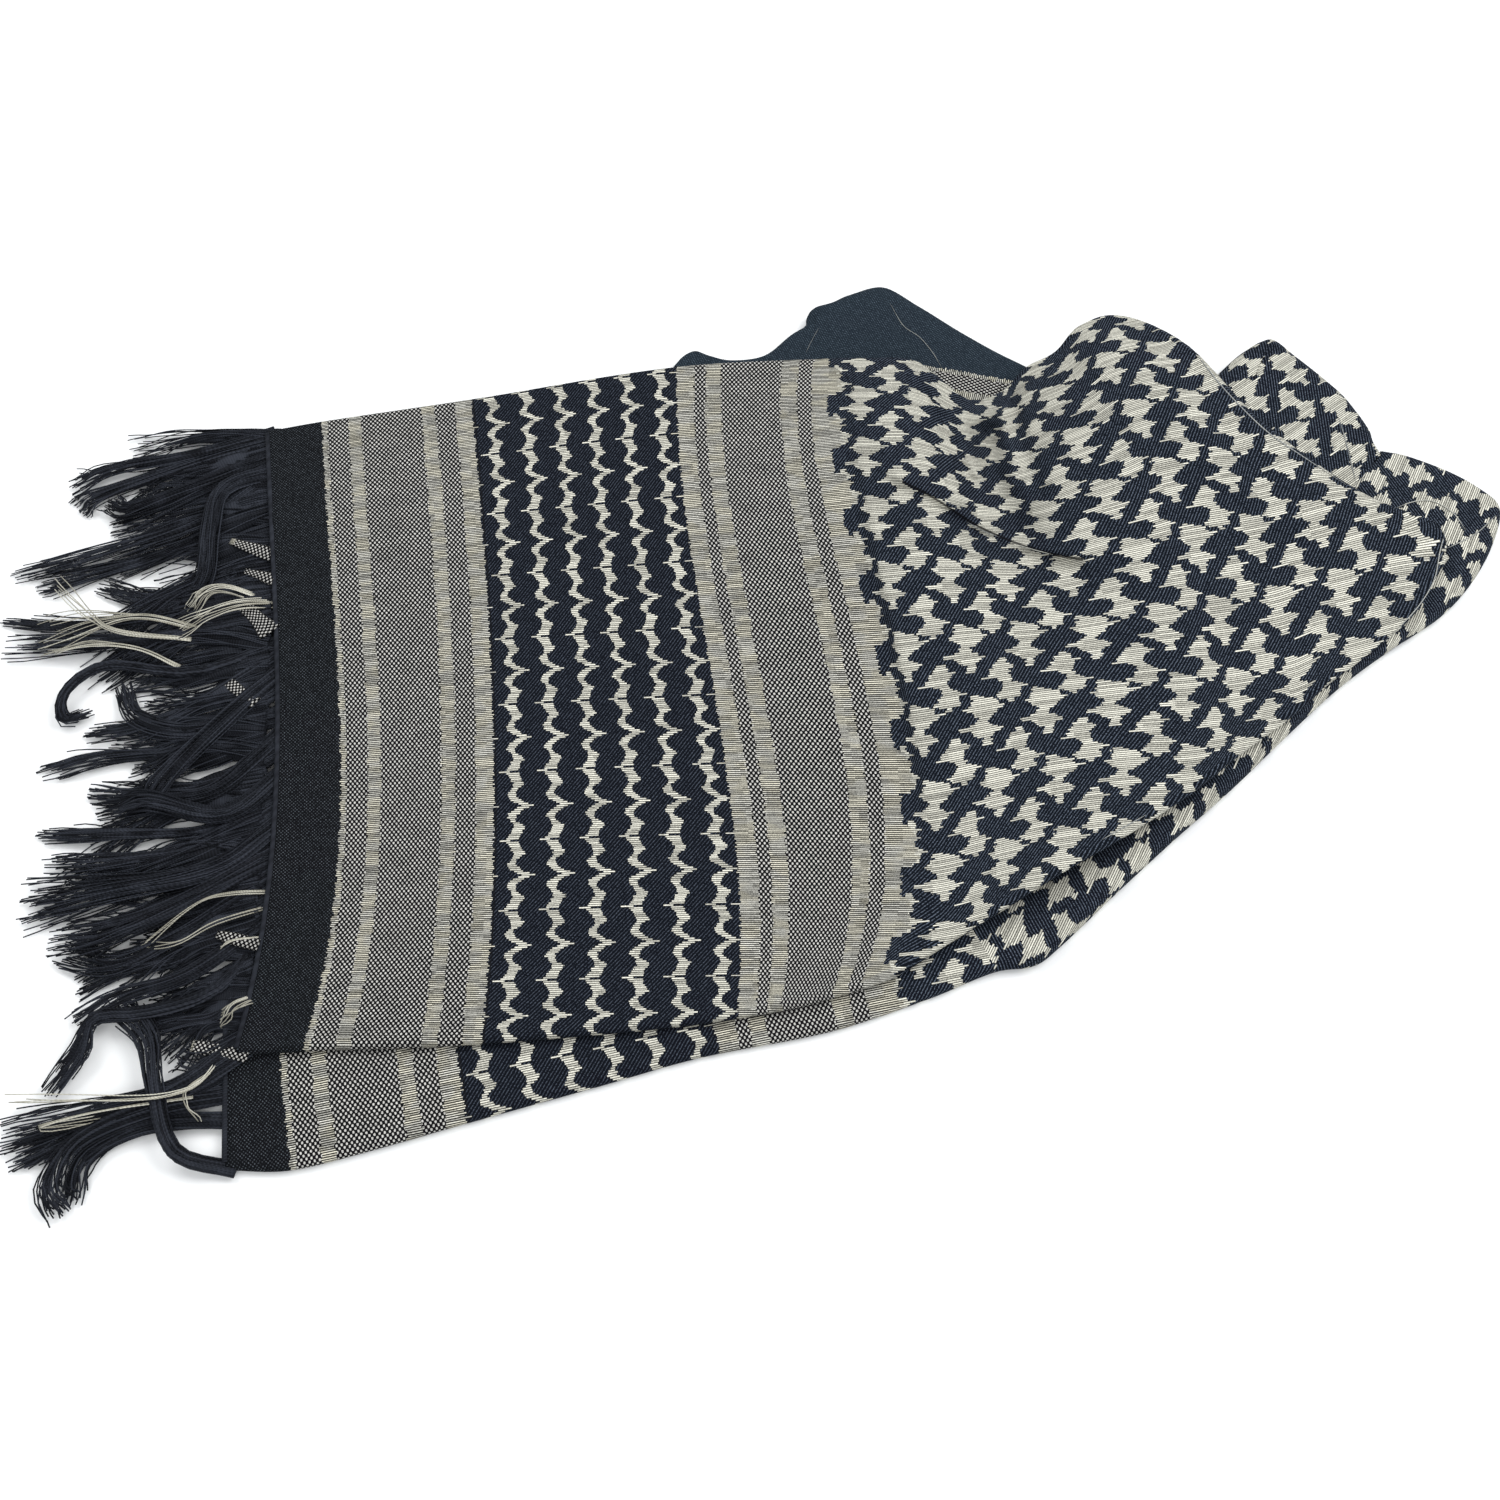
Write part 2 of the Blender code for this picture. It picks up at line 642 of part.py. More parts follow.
def tassel_lock_path(vertices, face, hem, tassel, lock):
    """Centre points of one lock. The locks of a tassel keep to their own lanes of one curve."""
    centre_share, tip_x, tip_y, spread, bow, lie = tassel
    root = sum((vertices[i] for i in face), Vector()) / 4
    knot, outward = hem_frame(hem, centre_share)
    line = raised(tip_x * MM, tip_y * MM, lie * MM) - knot
    line.z = 0
    length = line.length
    going = line / length
    sideways = Vector((line.y, -line.x, 0)).normalized()
    if sideways.y > 0:
        sideways = -sideways
    root_along, root_lane = (root - knot).dot(going), (root - knot).dot(sideways)
    tip_lane = spread * MM * (lock / (LOCKS_PER_TASSEL - 1) - 0.5)
    longest = max(LOCK_LENGTHS)
    points = []
    for step in range(1, LOCK_STEPS + 1):
        share = LOCK_LENGTHS[lock] / longest * step / LOCK_STEPS
        along = root_along + (length * longest - root_along) * share
        lane = root_lane + (tip_lane - root_lane) * share + bow * MM * math.sin(math.pi * share)
        early = length * LOCK_EARLY * math.sin(math.pi * share) * (1 - share)
        point = knot + going * along + sideways * lane + outward * early
        point.z = root.z + (lie * MM - root.z) * smooth((share - LOCK_FALL_START) / LOCK_FALL_SPAN)
        points.append(point)
    return points


def main():
    clear_scene()
    cloth = cloth_material("patterned_cloth", CLOTH_COLOUR)
    border = cloth_material("plain_border", BORDER_COLOUR)
    fringe = cloth_material("fringe_yarn", FRINGE_COLOUR)
    make_top_panel(cloth)
    lower_rows = fine_rows(LOWER_SECTIONS, LOWER_PARTS)
    make_strip("lower_panel", lower_rows, cloth)
    make_strip("far_fold", FAR_FOLD_SECTIONS, cloth)
    make_strip("back_border", BACK_SECTIONS, border)
    make_hidden_layers(cloth)
    far_start, near_start, _, _ = top_limits(0)
    upper_hem = [
        top_point(0, far_start + (near_start - far_start) * i / TOP_STEPS_ACROSS)
        for i in range(TOP_STEPS_ACROSS + 1)
    ]
    lower_hem = strip_section(lower_rows, 0)[: STRIP_STEPS + 1]
    make_fringe("upper_fringe", upper_hem, UPPER_TASSELS, fringe)
    make_fringe("lower_fringe", lower_hem, LOWER_TASSELS, fringe)


main()
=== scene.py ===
"""A square woven scarf with a knotted fringe, folded and laid flat, its right half in a low heap.

Metres, +Z up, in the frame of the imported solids. Plan places are in millimetres, as they look
from one eye above the near side, and raised() moves each along its line of sight to its height.
A spot on the cloth has two numbers: its distance from the hem in mm, and its pattern row.
"""
import math
import random

import bmesh
import bpy
from mathutils import Matrix, Vector
from mathutils.bvhtree import BVHTree


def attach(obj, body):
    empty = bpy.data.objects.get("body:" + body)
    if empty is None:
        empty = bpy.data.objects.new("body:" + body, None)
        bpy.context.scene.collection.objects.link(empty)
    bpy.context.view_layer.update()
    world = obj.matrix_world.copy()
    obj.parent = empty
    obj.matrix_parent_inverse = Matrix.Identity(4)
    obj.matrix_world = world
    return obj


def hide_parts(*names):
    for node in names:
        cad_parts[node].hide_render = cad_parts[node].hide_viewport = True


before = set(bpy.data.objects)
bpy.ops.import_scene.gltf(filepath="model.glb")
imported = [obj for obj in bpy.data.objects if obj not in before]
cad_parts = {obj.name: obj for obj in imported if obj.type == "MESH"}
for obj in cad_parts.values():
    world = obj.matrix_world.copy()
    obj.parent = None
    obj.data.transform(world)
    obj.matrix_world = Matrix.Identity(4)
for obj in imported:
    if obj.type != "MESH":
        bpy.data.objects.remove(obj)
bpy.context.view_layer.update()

MM = 0.001

# The eye, and the plan spot under the middle of the whole part
EYE_HEIGHT = 710.5 * MM
EYE_BACK = 410.2 * MM
ORIGIN = Vector((-1.5 * MM, 28.0 * MM, 0.0))
EYE = Vector((0.0, -EYE_BACK, EYE_HEIGHT)) - ORIGIN
LENS = 45.0
FILM = 36.0

# Cloth
CLOTH_WALL = 0.8 * MM
FOLD_RADIUS = 2.4 * MM
FOLD_LIP = 5.0 * MM
LIP_SHARE = 0.12
LEAST_ACROSS = 0.35
FOLD_STEPS = 8
LIP_STEPS = 3
ROW_LENGTH = 34.4
FOLD_FADE = 0.08
FOLD_REACH = 3
EDGE_STEP = 2.0

# Top sheet, one row for each section across it, from the fringed hem to the tip.
# Far and near rows are the pattern rows at its edges. Then four points a third of the way
# apart, far edge to near edge: plan x, plan y, height.
# cloth, far row, near row, far edge, far third, near third, near edge
TOP_SECTIONS = (
    (0, 0.45, 10.5, (-234, 180, 9.9), (-216, 70, 9.9), (-203, -39, 9.9), (-206, -140, 9.9)),
    (27, 0.45, 10.45, (-208, 186, 9.9), (-190, 75, 9.9), (-175, -38, 9.9), (-179, -138, 9.9)),
    (96, 0.45, 10.35, (-137, 200, 9.9), (-121, 84, 9.9), (-110, -30, 9.9), (-108, -135, 9.9)),
    (199, 0.37, 10.06, (-36, 221, 9.9), (-26, 98, 10.5), (-9, -18, 10), (-5, -124, 9.9)),
    (274, 0.1, 9.55, (45, 226, 11), (50, 120, 14), (68, -2, 12), (56, -107, 9.9)),
    (285, 0.1, 9.1, (55, 226, 13), (58, 127, 20), (74, 10, 17), (80, -92, 12)),
    (313, 0.1, 8.8, (83, 224, 16), (85, 132, 22), (101, 23, 22), (105, -76, 15)),
    (341, 0.4, 8.4, (107, 200, 13), (110, 125, 17), (127, 34, 26), (131, -59, 20)),
    (369, 0.3, 8.0, (125, 205, 15.5), (135, 133, 21), (155, 48, 29), (159, -42, 22)),
    (397, 0.0, 7.5, (139, 221, 24), (161, 157, 31), (186, 69, 30), (187, -23, 20)),
    (411, -0.05, 7.26, (153, 230, 30), (176, 168, 34), (199, 78, 29.5), (201, -12, 19)),
    (426, -0.1, 7.02, (166, 247, 36), (190, 181, 37), (211, 87, 29), (214, -1, 18)),
    (454, 0.0, 6.55, (190, 253, 38), (217, 191, 36), (237, 104, 27), (243, 21, 17)),
    (468, 1.1, 6.35, (220, 234, 34), (236, 167, 33), (253, 99, 25), (258, 35, 16)),
    (482, 2.45, 6.15, (247, 189, 29), (261, 140, 28), (270, 91, 22), (271, 45, 15.5)),
    (510, 3.7, 5.65, (288, 144, 20), (295, 122, 19.5), (299, 96, 17), (304, 73, 14.5)),
    (538, 4.55, 4.9, (321, 125, 13), (325, 118, 13), (325, 109, 13), (321, 101, 13)),
)

# Soft ridges (height above 0) and troughs (below 0) of the top sheet, on the cloth's own places
# from cloth, from row, to cloth, to row, half width in mm, height in mm
TOP_FOLDS = (
    (0, 2.3, 225, 2.6, 26, 2.6),
    (40, 8.3, 210, 7.9, 22, 1.8),
    (292, 0.2, 305, 3.2, 11, 4.5),
    (322, 2.0, 372, 4.2, 12, -2.0),
    (430, 0.6, 470, 4.0, 14, 3.0),
    (300, 6.4, 420, 4.6, 16, 2.5),
    (330, 7.6, 400, 6.6, 10, -2.0),
    (353, 1.3, 356, 3.2, 11, -8.0),
    (324, 0.3, 331, 2.5, 6, 2.2),
    (300, 2.46, 379, 3.84, 2.8, 2.8),
    (300, 2.70, 375, 4.04, 4.0, -3.4),
    (312, 0.4, 340, 2.3, 3.6, -2.8),
    (304, 0.9, 330, 2.7, 4.0, 2.2),
    (338, 0.6, 345, 2.2, 4.0, 2.4),
    (366, 0.3, 362, 2.4, 5.0, 2.6),
    (376, 0.5, 373, 2.6, 4.0, -2.4),
    (292, 4.4, 298, 7.2, 6.0, 0.9),
    (30, 5.2, 190, 5.6, 30, -1.0),
    (20, 9.5, 120, 8.9, 8.0, -0.7),
    (205, 1.0, 268, 1.3, 9.0, 0.9),
    (400, 2.6, 480, 4.6, 10, -1.6),
    (380, 5.8, 470, 5.4, 9, -1.2),
    (405, 1.2, 452, 2.6, 7, 1.3),
)
TOP_ALONG = 250
TOP_ACROSS = 150

# Lower sheet, one row for each section: it shows past the top sheet's near edge, round the tip
# and back along the far side. outer: the silhouette. inner: its hidden edge under the top sheet.
# outer x, outer y, inner x, inner y, height at the outer fold, height at the inner edge
LOWER_SECTIONS = (
    (-203, -188, -212, -122, 4.8, 4.8),
    (-178, -188, -189, -120, 4.8, 4.8),
    (-147, -180, -156, -118, 4.8, 4.8),
    (-114, -170, -120, -116, 4.8, 4.8),
    (-60, -154, -65, -112, 4.8, 4.8),
    (-20, -142, -25, -106, 4.8, 4.8),
    (32, -131, 27, -97, 4.8, 4.8),
    (72, -117, 60, -82, 4.8, 4.8),
    (100, -105, 84, -68, 6.6, 4.0),
    (117, -102, 99, -56, 9.0, 2.4),
    (130, -92, 113, -47, 10.0, 2.0),
    (153, -70, 135, -32, 10.0, 2.0),
    (181, -44, 163, -10, 10.0, 3.0),
    (208, -20, 190, 13, 10.0, 5.0),
    (236, 7, 217, 39, 10.0, 7.0),
    (263, 32, 243, 63, 9.5, 8.0),
    (289, 52, 262, 78, 9.0, 7.5),
    (315, 70, 276, 90, 8.5, 7.0),
    (333, 89, 284, 99, 8.0, 6.5),
    (347, 111, 288, 106, 7.8, 6.5),
    (354, 131, 290, 112, 7.8, 6.5),
    (346, 143, 288, 117, 7.8, 6.5),
    (333, 153, 284, 121, 8.2, 7.0),
    (315, 162, 279, 125, 9.0, 8.0),
    (303, 165, 274, 129, 9.5, 8.5),
)
LOWER_TWIST = 8

# Far fold: the next fold of the heap, past the top sheet's far edge, right to left
FAR_FOLD_SECTIONS = (
    (304, 160, 276, 125, 9.4, 8.3),
    (302, 166.6, 274, 130.2, 9.5, 8.5),
    (300.6, 171, 271, 136, 11.0, 10.5),
    (300, 177, 268, 140, 13.0, 13.0),
    (296, 187, 262, 145, 15.0, 15.0),
    (289, 200, 252, 152, 17.0, 17.0),
    (272, 221, 240, 162, 19.0, 19.0),
    (259, 234, 228, 172, 20.0, 20.0),
    (244, 226, 219, 176, 20.0, 20.0),
    (229, 211, 212, 178, 20.5, 21.0),
    (214, 196, 203, 174, 21.0, 21.0),
)

# Back border: the plain edge of the layer below, past the top sheet's far edge, left to right
BACK_SECTIONS = (
    (-38, 219, -38, 198, 4.4, 4.6),
    (-33, 226, -30, 198, 4.6, 4.6),
    (-27, 229, -23, 198, 4.8, 4.6),
    (-20, 226, -16, 198, 4.6, 4.6),
    (-9, 223, -8, 198, 4.6, 4.6),
    (7, 226, 8, 200, 5.0, 4.6),
    (20, 239, 20, 202, 7.0, 4.8),
    (27.5, 245, 27, 202, 8.5, 4.8),
    (28.5, 251, 30, 202, 10.0, 4.9),
    (32, 256.5, 34, 203, 11.0, 5.0),
    (41, 260, 43, 203, 12.0, 5.1),
    (50, 265, 51, 203, 12.5, 5.2),
    (68, 270, 62, 201, 13.0, 5.2),
    (86, 257, 74, 197, 12.0, 5.2),
    (105, 241, 88, 188, 10.5, 5.0),
    (122, 228, 104, 176, 9.0, 5.0),
    (137, 218, 120, 176, 8.0, 5.0),
)
STRIP_STEPS = 14
STRIP_PARTS = 8
STRIP_LIP_SHARE = 0.35
STRIP_FLAT_SHARE = 0.23

# Pale threads that paint highlights along the sharpest creases and fold edges: radius in mm, plan
# places
CREASE_HIGHLIGHTS = (
    (0.34, ((222, 229), (228, 216), (233, 206), (242, 191), (252, 177), (266, 163), (284, 146))),
    (0.24, ((305, 132), (315, 136), (324, 136), (332, 129), (336, 119))),
    (0.24, ((329, 125), (322, 108), (316, 91), (306, 76), (291, 60))),
    (0.24, ((352, 128), (340, 117), (324, 108))),
    (0.22, ((102, 124), (109, 119), (117, 115))),
    (0.22, ((124, 111), (132, 108), (141, 105))),
    (0.13, ((71, 262), (77, 247), (85, 239), (91, 229), (95, 219))),
    (0.13, ((35, 246), (31, 237), (28, 229))),
    (0.24, ((287, 187), (288, 173), (289, 146))),
    (0.24, ((150, -44), (160, -38), (170, -32))),
)
CREASE_LIFT = 0.5 * MM
# Painted shadow along the sharp pleat of the top sheet: cloth and row at each end, half width in mm
PLEAT_SHADOW_LINE = ((302.0, 2.57), (379.0, 3.92), 1.1)
LINE_CORE = 0.3
CREASE_STEPS = 24
CREASE_END = 0.25
CREASE_FADE = 0.2

# How the weave lies on each strip: a plan spot, the cloth and row there, and the angle of the
# yarns from +X in degrees
LOWER_WEAVE = ((-87.9, -143.9), 124.0, 4.5, 12.4)
TWIST_WEAVE = ((236.0, 7.0), 682.0, 3.0, 63.0)
FAR_FOLD_WEAVE = ((250.0, 200.0), 712.0, 2.2, 38.0)
BACK_PLAIN_WEAVE = ((70.0, 240.0), -200.0, 2.0, 65.0)
BACK_WEAVE = ((96.0, 218.0), 27.0, 0.0, -103.0)
BACK_CHECK_FROM = 13.5

# Layers inside the fold, made as one thin sheet with a layered far side
# cloth, how far inside the top sheet's far edge, and its near edge
INNER_SECTIONS = (
    (4, 2.0, 30.0),
    (50, 2.0, 30.0),
    (100, 2.0, 32.0),
    (150, 2.0, 34.0),
    (178, 2.0, 34.0),
    (190, 28.0, 34.0),
    (230, 28.0, 34.0),
    (274, 30.0, 42.0),
    (300, 32.0, 48.0),
    (330, 34.0, 54.0),
    (360, 38.0, 60.0),
    (385, 30.0, 60.0),
    (405, 18.0, 60.0),
    (424, 9.0, 60.0),
    (440, 9.0, 62.0),
    (452, 12.0, 62.0),
    (464, 24.0, 64.0),
)
INNER_LAYERS = 3
INNER_BULGE = 1.2 * MM
INNER_DROP = 2.6 * MM
INNER_UNDER_LIP = 0.3 * MM
INNER_PAST_LIP = 1.0 * MM
INNER_LEAST = 2.0 * MM
INNER_FOOT = 0.2 * MM
INNER_ROW = 0.3
INNER_STATIONS_A_ROW = 4
INNER_ALONG = 120
INNER_ACROSS = 40
INNER_SIDE = 24

# Fringe: each lock is a flat bundle of yarns along plan places, from the hem to its tip
# plan places, width at the hem, spread at the tip, height it lies at
UPPER_LOCKS = (
    (((-235, 178), (-269, 163), (-306, 155), (-322, 145)), 6, 9, 5),
    (((-234, 173), (-273, 156), (-309, 139), (-317, 131)), 7, 11, 3),
    (((-232, 164), (-264, 144), (-293, 131), (-303, 135)), 8, 9, 6),
    (((-230, 155), (-257, 125), (-298, 107), (-336, 93)), 7, 9, 4),
    (((-227, 143), (-257, 111), (-303, 94), (-326, 87)), 7, 12, 2),
    (((-230, 155), (-250, 143), (-253, 119), (-252, 94), (-257, 80)), 9, 8, 9),
    (((-223, 111), (-253, 85), (-275, 80), (-297, 86)), 9, 9, 3),
    (((-220, 84), (-260, 73), (-300, 65), (-337, 67)), 7, 8, 3),
    (((-217, 71), (-255, 60), (-294, 56), (-332, 54)), 7, 9, 5),
    (((-215, 58), (-249, 40), (-288, 44), (-305, 30), (-303, 16), (-293, 19)), 5, 4, 6),
    (((-214, 52), (-244, 23), (-267, 12), (-290, 8)), 7, 7, 4),
    (((-212, 44), (-232, 15), (-254, -15), (-259, -29)), 9, 8, 9),
    (((-211, 34), (-240, 10), (-270, 15), (-281, 32)), 8, 7, 5),
    (((-209, 23), (-241, 1), (-280, -4), (-306, -12)), 5, 7, 3),
    (((-207, 13), (-229, -20), (-255, -26), (-278, -32)), 9, 12, 7),
    (((-206, 3), (-230, -18), (-262, -22), (-283, -22)), 8, 9, 4),
    (((-205, -8), (-225, -32), (-259, -25), (-273, -29)), 8, 9, 9),
    (((-204, -20), (-229, -39), (-270, -42), (-301, -43)), 5, 6, 4),
    (((-204, -25), (-228, -47), (-270, -54), (-296, -56)), 5, 8, 6),
    (((-203, -32), (-225, -58), (-270, -68), (-302, -73)), 10, 15, 8),
    (((-203, -39), (-230, -58), (-270, -70), (-299, -80)), 8, 12, 4),
    (((-203, -49), (-232, -72), (-262, -87), (-287, -93)), 9, 13, 9),
    (((-203, -58), (-232, -86), (-260, -101), (-282, -97)), 8, 11, 5),
    (((-203, -70), (-231, -97), (-256, -104), (-273, -112)), 7, 9, 3),
    (((-203, -79), (-229, -106), (-255, -116), (-272, -128)), 7, 8, 7),
    (((-205, -88), (-218, -113), (-245, -123), (-265, -125), (-269, -140), (-277, -155)), 5, 6, 8),
    (((-206, -100), (-214, -123), (-232, -127), (-248, -131)), 6, 7, 5),
    (((-206, -130), (-226, -153), (-264, -166), (-293, -174)), 6, 13, 6),
    (((-206, -138), (-233, -162), (-265, -173), (-286, -184)), 7, 11, 4),
    (((-214, 56), (-236, 51), (-258, 47), (-276, 50)), 9, 13, 2),
    (((-210, 17), (-228, 11), (-246, 9), (-262, 3)), 9, 12, 3),
)
LOWER_LOCKS = (
    (((-204, -188), (-224, -181), (-236, -155), (-242, -133), (-257, -119)), 6, 9, 9),
    (((-206, -156), (-236, -164), (-262, -177), (-268, -194), (-262, -203)), 8, 11, 6),
    (((-205, -168), (-235, -170), (-258, -183), (-260, -200)), 7, 9, 3),
    (((-206, -144), (-227, -160), (-251, -170), (-279, -181)), 6, 10, 5),
)
# Cream yarns pulled out of the checked bands: the same, then how many yarns
CREAM_LOCKS = (
    (((-231, 80), (-243, 86), (-252, 82), (-255, 72)), 5, 9, 12, 12),
    (((-257, 64), (-275, 70), (-296, 68), (-320, 58)), 3, 16, 10, 10),
    (((-258, 58), (-286, 62), (-301, 71), (-322, 92)), 2, 6, 11, 5),
    (((-261, 43), (-277, 53), (-299, 55), (-317, 49)), 2, 9, 11, 6),
    (((-222, 78), (-236, 76), (-250, 70), (-262, 62)), 6, 8, 11, 8),
    (((-201, -69), (-218, -70), (-232, -75), (-252, -96)), 2, 4, 13, 3),
    (((-204, -75), (-222, -83), (-236, -92), (-250, -94)), 2, 4, 12, 3),
    (((-204, -89), (-213, -91), (-221, -96)), 2, 3, 11, 3),
    (((-206, -116), (-210, -121), (-214, -127)), 5, 7, 12, 7),
    (((-217, -143), (-222, -155), (-249, -160), (-290, -159)), 2, 6, 12, 4),
    (((-217, -146), (-223, -155), (-222, -162), (-216, -170)), 1, 2, 11, 2),
    (((-225, -159), (-256, -165), (-279, -171), (-248, -165)), 2, 5, 12, 4),
)
# Checked ends of the layer below, showing through the fringe: one end, the other end, width, height
HEM_SCRAPS = (
    (-220, 104, -243, 113, 7, 10.0),
    (-220, 91, -234, 96, 6, 10.0),
    (-218, 62, -231, 76, 10, 10.0),
    (-220, 24, -233, 35, 7, 10.0),
    (-201, -141, -224, -137, 7, 8.0),
    (-203, -93, -221, -88, 6, 11.0),
)
SCRAP_LEAST = 10.0
SCRAP_CLOTH = 50.0
SCRAP_ROW = 3.0
SCRAP_STEPS = 8
SCRAP_TAPER = 0.35
SCRAP_RAGGED = (0.12, 5)
SCRAP_DROOP = 3.0
SCRAP_CROWN = 1.2
FILLER_LOCKS = 50
# share along the hem, longest reach
FILLER_REACH = (
    (0.0, 84), (0.10, 80), (0.2, 64), (0.3, 84), (0.42, 68), (0.55, 66), (0.66, 72), (0.78, 66),
    (0.86, 46), (0.93, 36), (1.0, 28),
)
FILLER_SHORTEST = 0.66
FILLER_WIDTH = (9.0, 13.0)
FILLER_SPREAD = (12.0, 20.0)
FILLER_HEIGHT = (1.5, 4.5)
FILLER_YARNS = 18
FILLER_STRAYS = 1
FILLER_FALL = (0.05, 0.7)
FILLER_SWAY = 8
FILLER_BEND = (0.5, 0.45)
FILLER_LINE = ((-233.0, 179.0), (-205.0, -136.0))
YARNS_PER_LOCK = 30
STRAYS_PER_LOCK = 3
TUCK = 5.0
HEM_CORD = 1.3 * MM
HEM_CORD_OUT = 0.4 * MM
HEM_CORD_DROP = 0.6
HEM_SHADE = 0.46
YARN_STEPS = 16
YARN_SIDES = 4
YARN_STRIDE = 10
YARN_NUDGE = 0.01
YARN_RADIUS = 0.4 * MM
CREAM_RADIUS = 0.3 * MM
YARN_TAPER = 0.25
YARN_SHADES = 50
# Each yarn draws its place in the bundle, its twist, its length and its waves
YARN_TURNS = (0.05, 0.95)
YARN_LAYERS = (0.75, 1.05)
YARN_DRIFT = 0.35
YARN_TWIST = 0.5
YARN_REACH = (0.9, 1.05)
YARN_WAVE = (0.2, 0.9)
YARN_BEATS = (1.0, 2.6)
STEADY_WAVE = 0.25
STRAY_REACH = 0.9
STRAY_WAVE = 4.0
FAN_FROM = 0.45
LOOSE_FROM = 0.35
LOOSE_FLATTER = 0.75
BUNDLE_HEIGHT = 0.36
ROOT_SHARE = 0.5
ROOT_END = 0.2
SAG = 0.55
SAG_FROM = 0.7
CORE_SIDES = 8
CORE_STEPS = 16
CORE_FULL = 0.25
CORE_END = 0.62
CORE_LEAST = 0.03
CORE_WIDTH = 0.46
CORE_HEIGHT = 0.3
CORE_GAP = 0.4 * MM
HEM_FALL = 0.3
FLOOR_GAP = 0.8 * MM
UPPER_HEM_HEIGHT = 6.6
LOWER_HEM_HEIGHT = 2.4
SEED = 7

# Bands of the weave along the cloth, in mm from the hem
BORDER_END = 27.4
SCALLOP_START = 96.0
SCALLOP_END = 198.7
SCALLOP_PITCH = 17.1
SCALLOP_LEAD = 1.6
RAGGED_START = 261.8
FIELD_START = 272.0
TAN_LINES = (
    (26.6, 29.0),
    (38.8, 44.6),
    (72.3, 78.6),
    (88.0, 96.0),
    (198.7, 207.2),
    (212.6, 219.8),
    (247.5, 255.1),
)
CHECK_BANDS = ((27.2, 90.0), (203.0, 264.0))
THREADS = 36
MOTIF_PITCH = 28.2
MOTIF_FIRST = 285.0
MOTIF_THREAD = 5
SMALL_SHIFT = 18
RIGHT_SPIKE = 2.2
LEFT_SPIKE = 3.6
SPIKE_OVERLAP = 0.5
SCALLOP_THINNER = (0.25, 0.35)
SCALLOP_WANDER = 0.5
GROOVE = (0.3, 1.3)
# The weave's irregular ends and tones, and its finest pitches, in mm
FLOAT_WANDER = 1.7
STRIPE_WANDER = 1.3
STRIPE_CELL = 9.3
STRIPE_SALT = 91
TWILL_PITCH = 1.7
TWILL_LEAN = 0.83
TWILL_WANDER = 0.5
PLAIN_PITCH = (1.5, 1.7)
CHECK_PITCH = (2.0, 2.74)
WEAVE_DETAIL = 3.0
SPECK_SCALE = 1.7
FINE_SCALE = 1.6
PATCH_SCALE = 0.13
# Where a soft edge starts and ends
THREAD_GAP = (0.45, 0.85)
BAND_GAP = (0.22, 0.62)
BAND_PATCH = (0.4, 0.6)
CHECK_DOT = (-0.4, -0.1)
TWILL_LINE = (0.2, 0.95)
TWILL_SPECK = (0.34, 0.64)
PLAIN_LINE = (0.1, 0.7)
PLAIN_SPECK = (0.35, 0.7)
# Where the painted lighter twill of the field takes over from the darker ground
FIELD_PAINTED_LIGHT = (SCALLOP_END, FIELD_START + 20.0)
# How dark the gaps, the groove and the painted shadow of the pleat are
THREAD_GAP_DARK = 0.92
BAND_GAP_DARK = 0.97
GROOVE_DARK = 0.7
PLEAT_SHADOW_DARK = 0.85
# Tone: its base, then how far each thread, soft patches and fine noise change it
FLOAT_TONE = (0.49, 0.46, 1.0)
BAND_TONE = (0.49, 0.6, 0.3, 0.9)
CHECK_TONE = (0.68, 0.3, 0.9)
CHECK_WOBBLE = 0.5
CLOTH_ROUGHNESS = 0.92
CLOTH_SPECULAR = 0.04
CLOTH_WEAR = 0.1
CLOTH_RELIEF = 0.35 * MM
# Shares of the relief: floats, floats between their gaps, check, twill, noise
RELIEF_SHARES = (0.5, 0.5, 0.4, 0.1, 0.3)
YARN_ROUGHNESS = 0.75
YARN_SPECULAR = 0.08
YARN_WEAR = 0.25
YARN_RELIEF = 0.15 * MM
YARN_SALT = 3.0
YARN_PATCH_SCALE = 90.0
# Shares of the yarn's shine: its own, soft patches and its ply
YARN_SHINE = (0.6, 0.25, 0.15)
YARN_OWN = (0.2, 1.0)
YARN_PATCH = (0.4, 0.8)
PLY_TURNS = 60
# Charts hold reaches up to the first, and the second stands for a thread with no float
CHART_SPAN = 20.0
NO_REACH = -6.0

# Charts of the weave: thread from the middle of the motif, reach to the left and right in mm
BIG_MOTIF = (
    (-13, 2.5, 1.5), (-12, 3.0, 3.5), (-11, 2.0, 7.0), (-10, 3.0, 9.0), (-9, 3.5, 9.0),
    (-8, 4.0, 9.0), (-7, 6.5, 13.0), (-6, 5.5, 10.5), (-5, 4.0, 9.0), (-4, 3.5, 7.5),
    (-3, 2.0, 6.5), (-2, 1.0, 5.0), (-1, 2.0, 3.0), (0, 3.0, 2.5), (1, 5.0, 3.0),
    (2, 10.0, 5.0), (3, 10.0, 6.0), (4, 5.5, 8.5), (5, 5.0, 7.5), (6, 4.0, 5.0),
    (7, 2.5, 3.0), (8, 1.0, 3.0), (9, 1.0, 3.0), (10, 1.5, 2.5), (11, 1.5, 2.5),
)
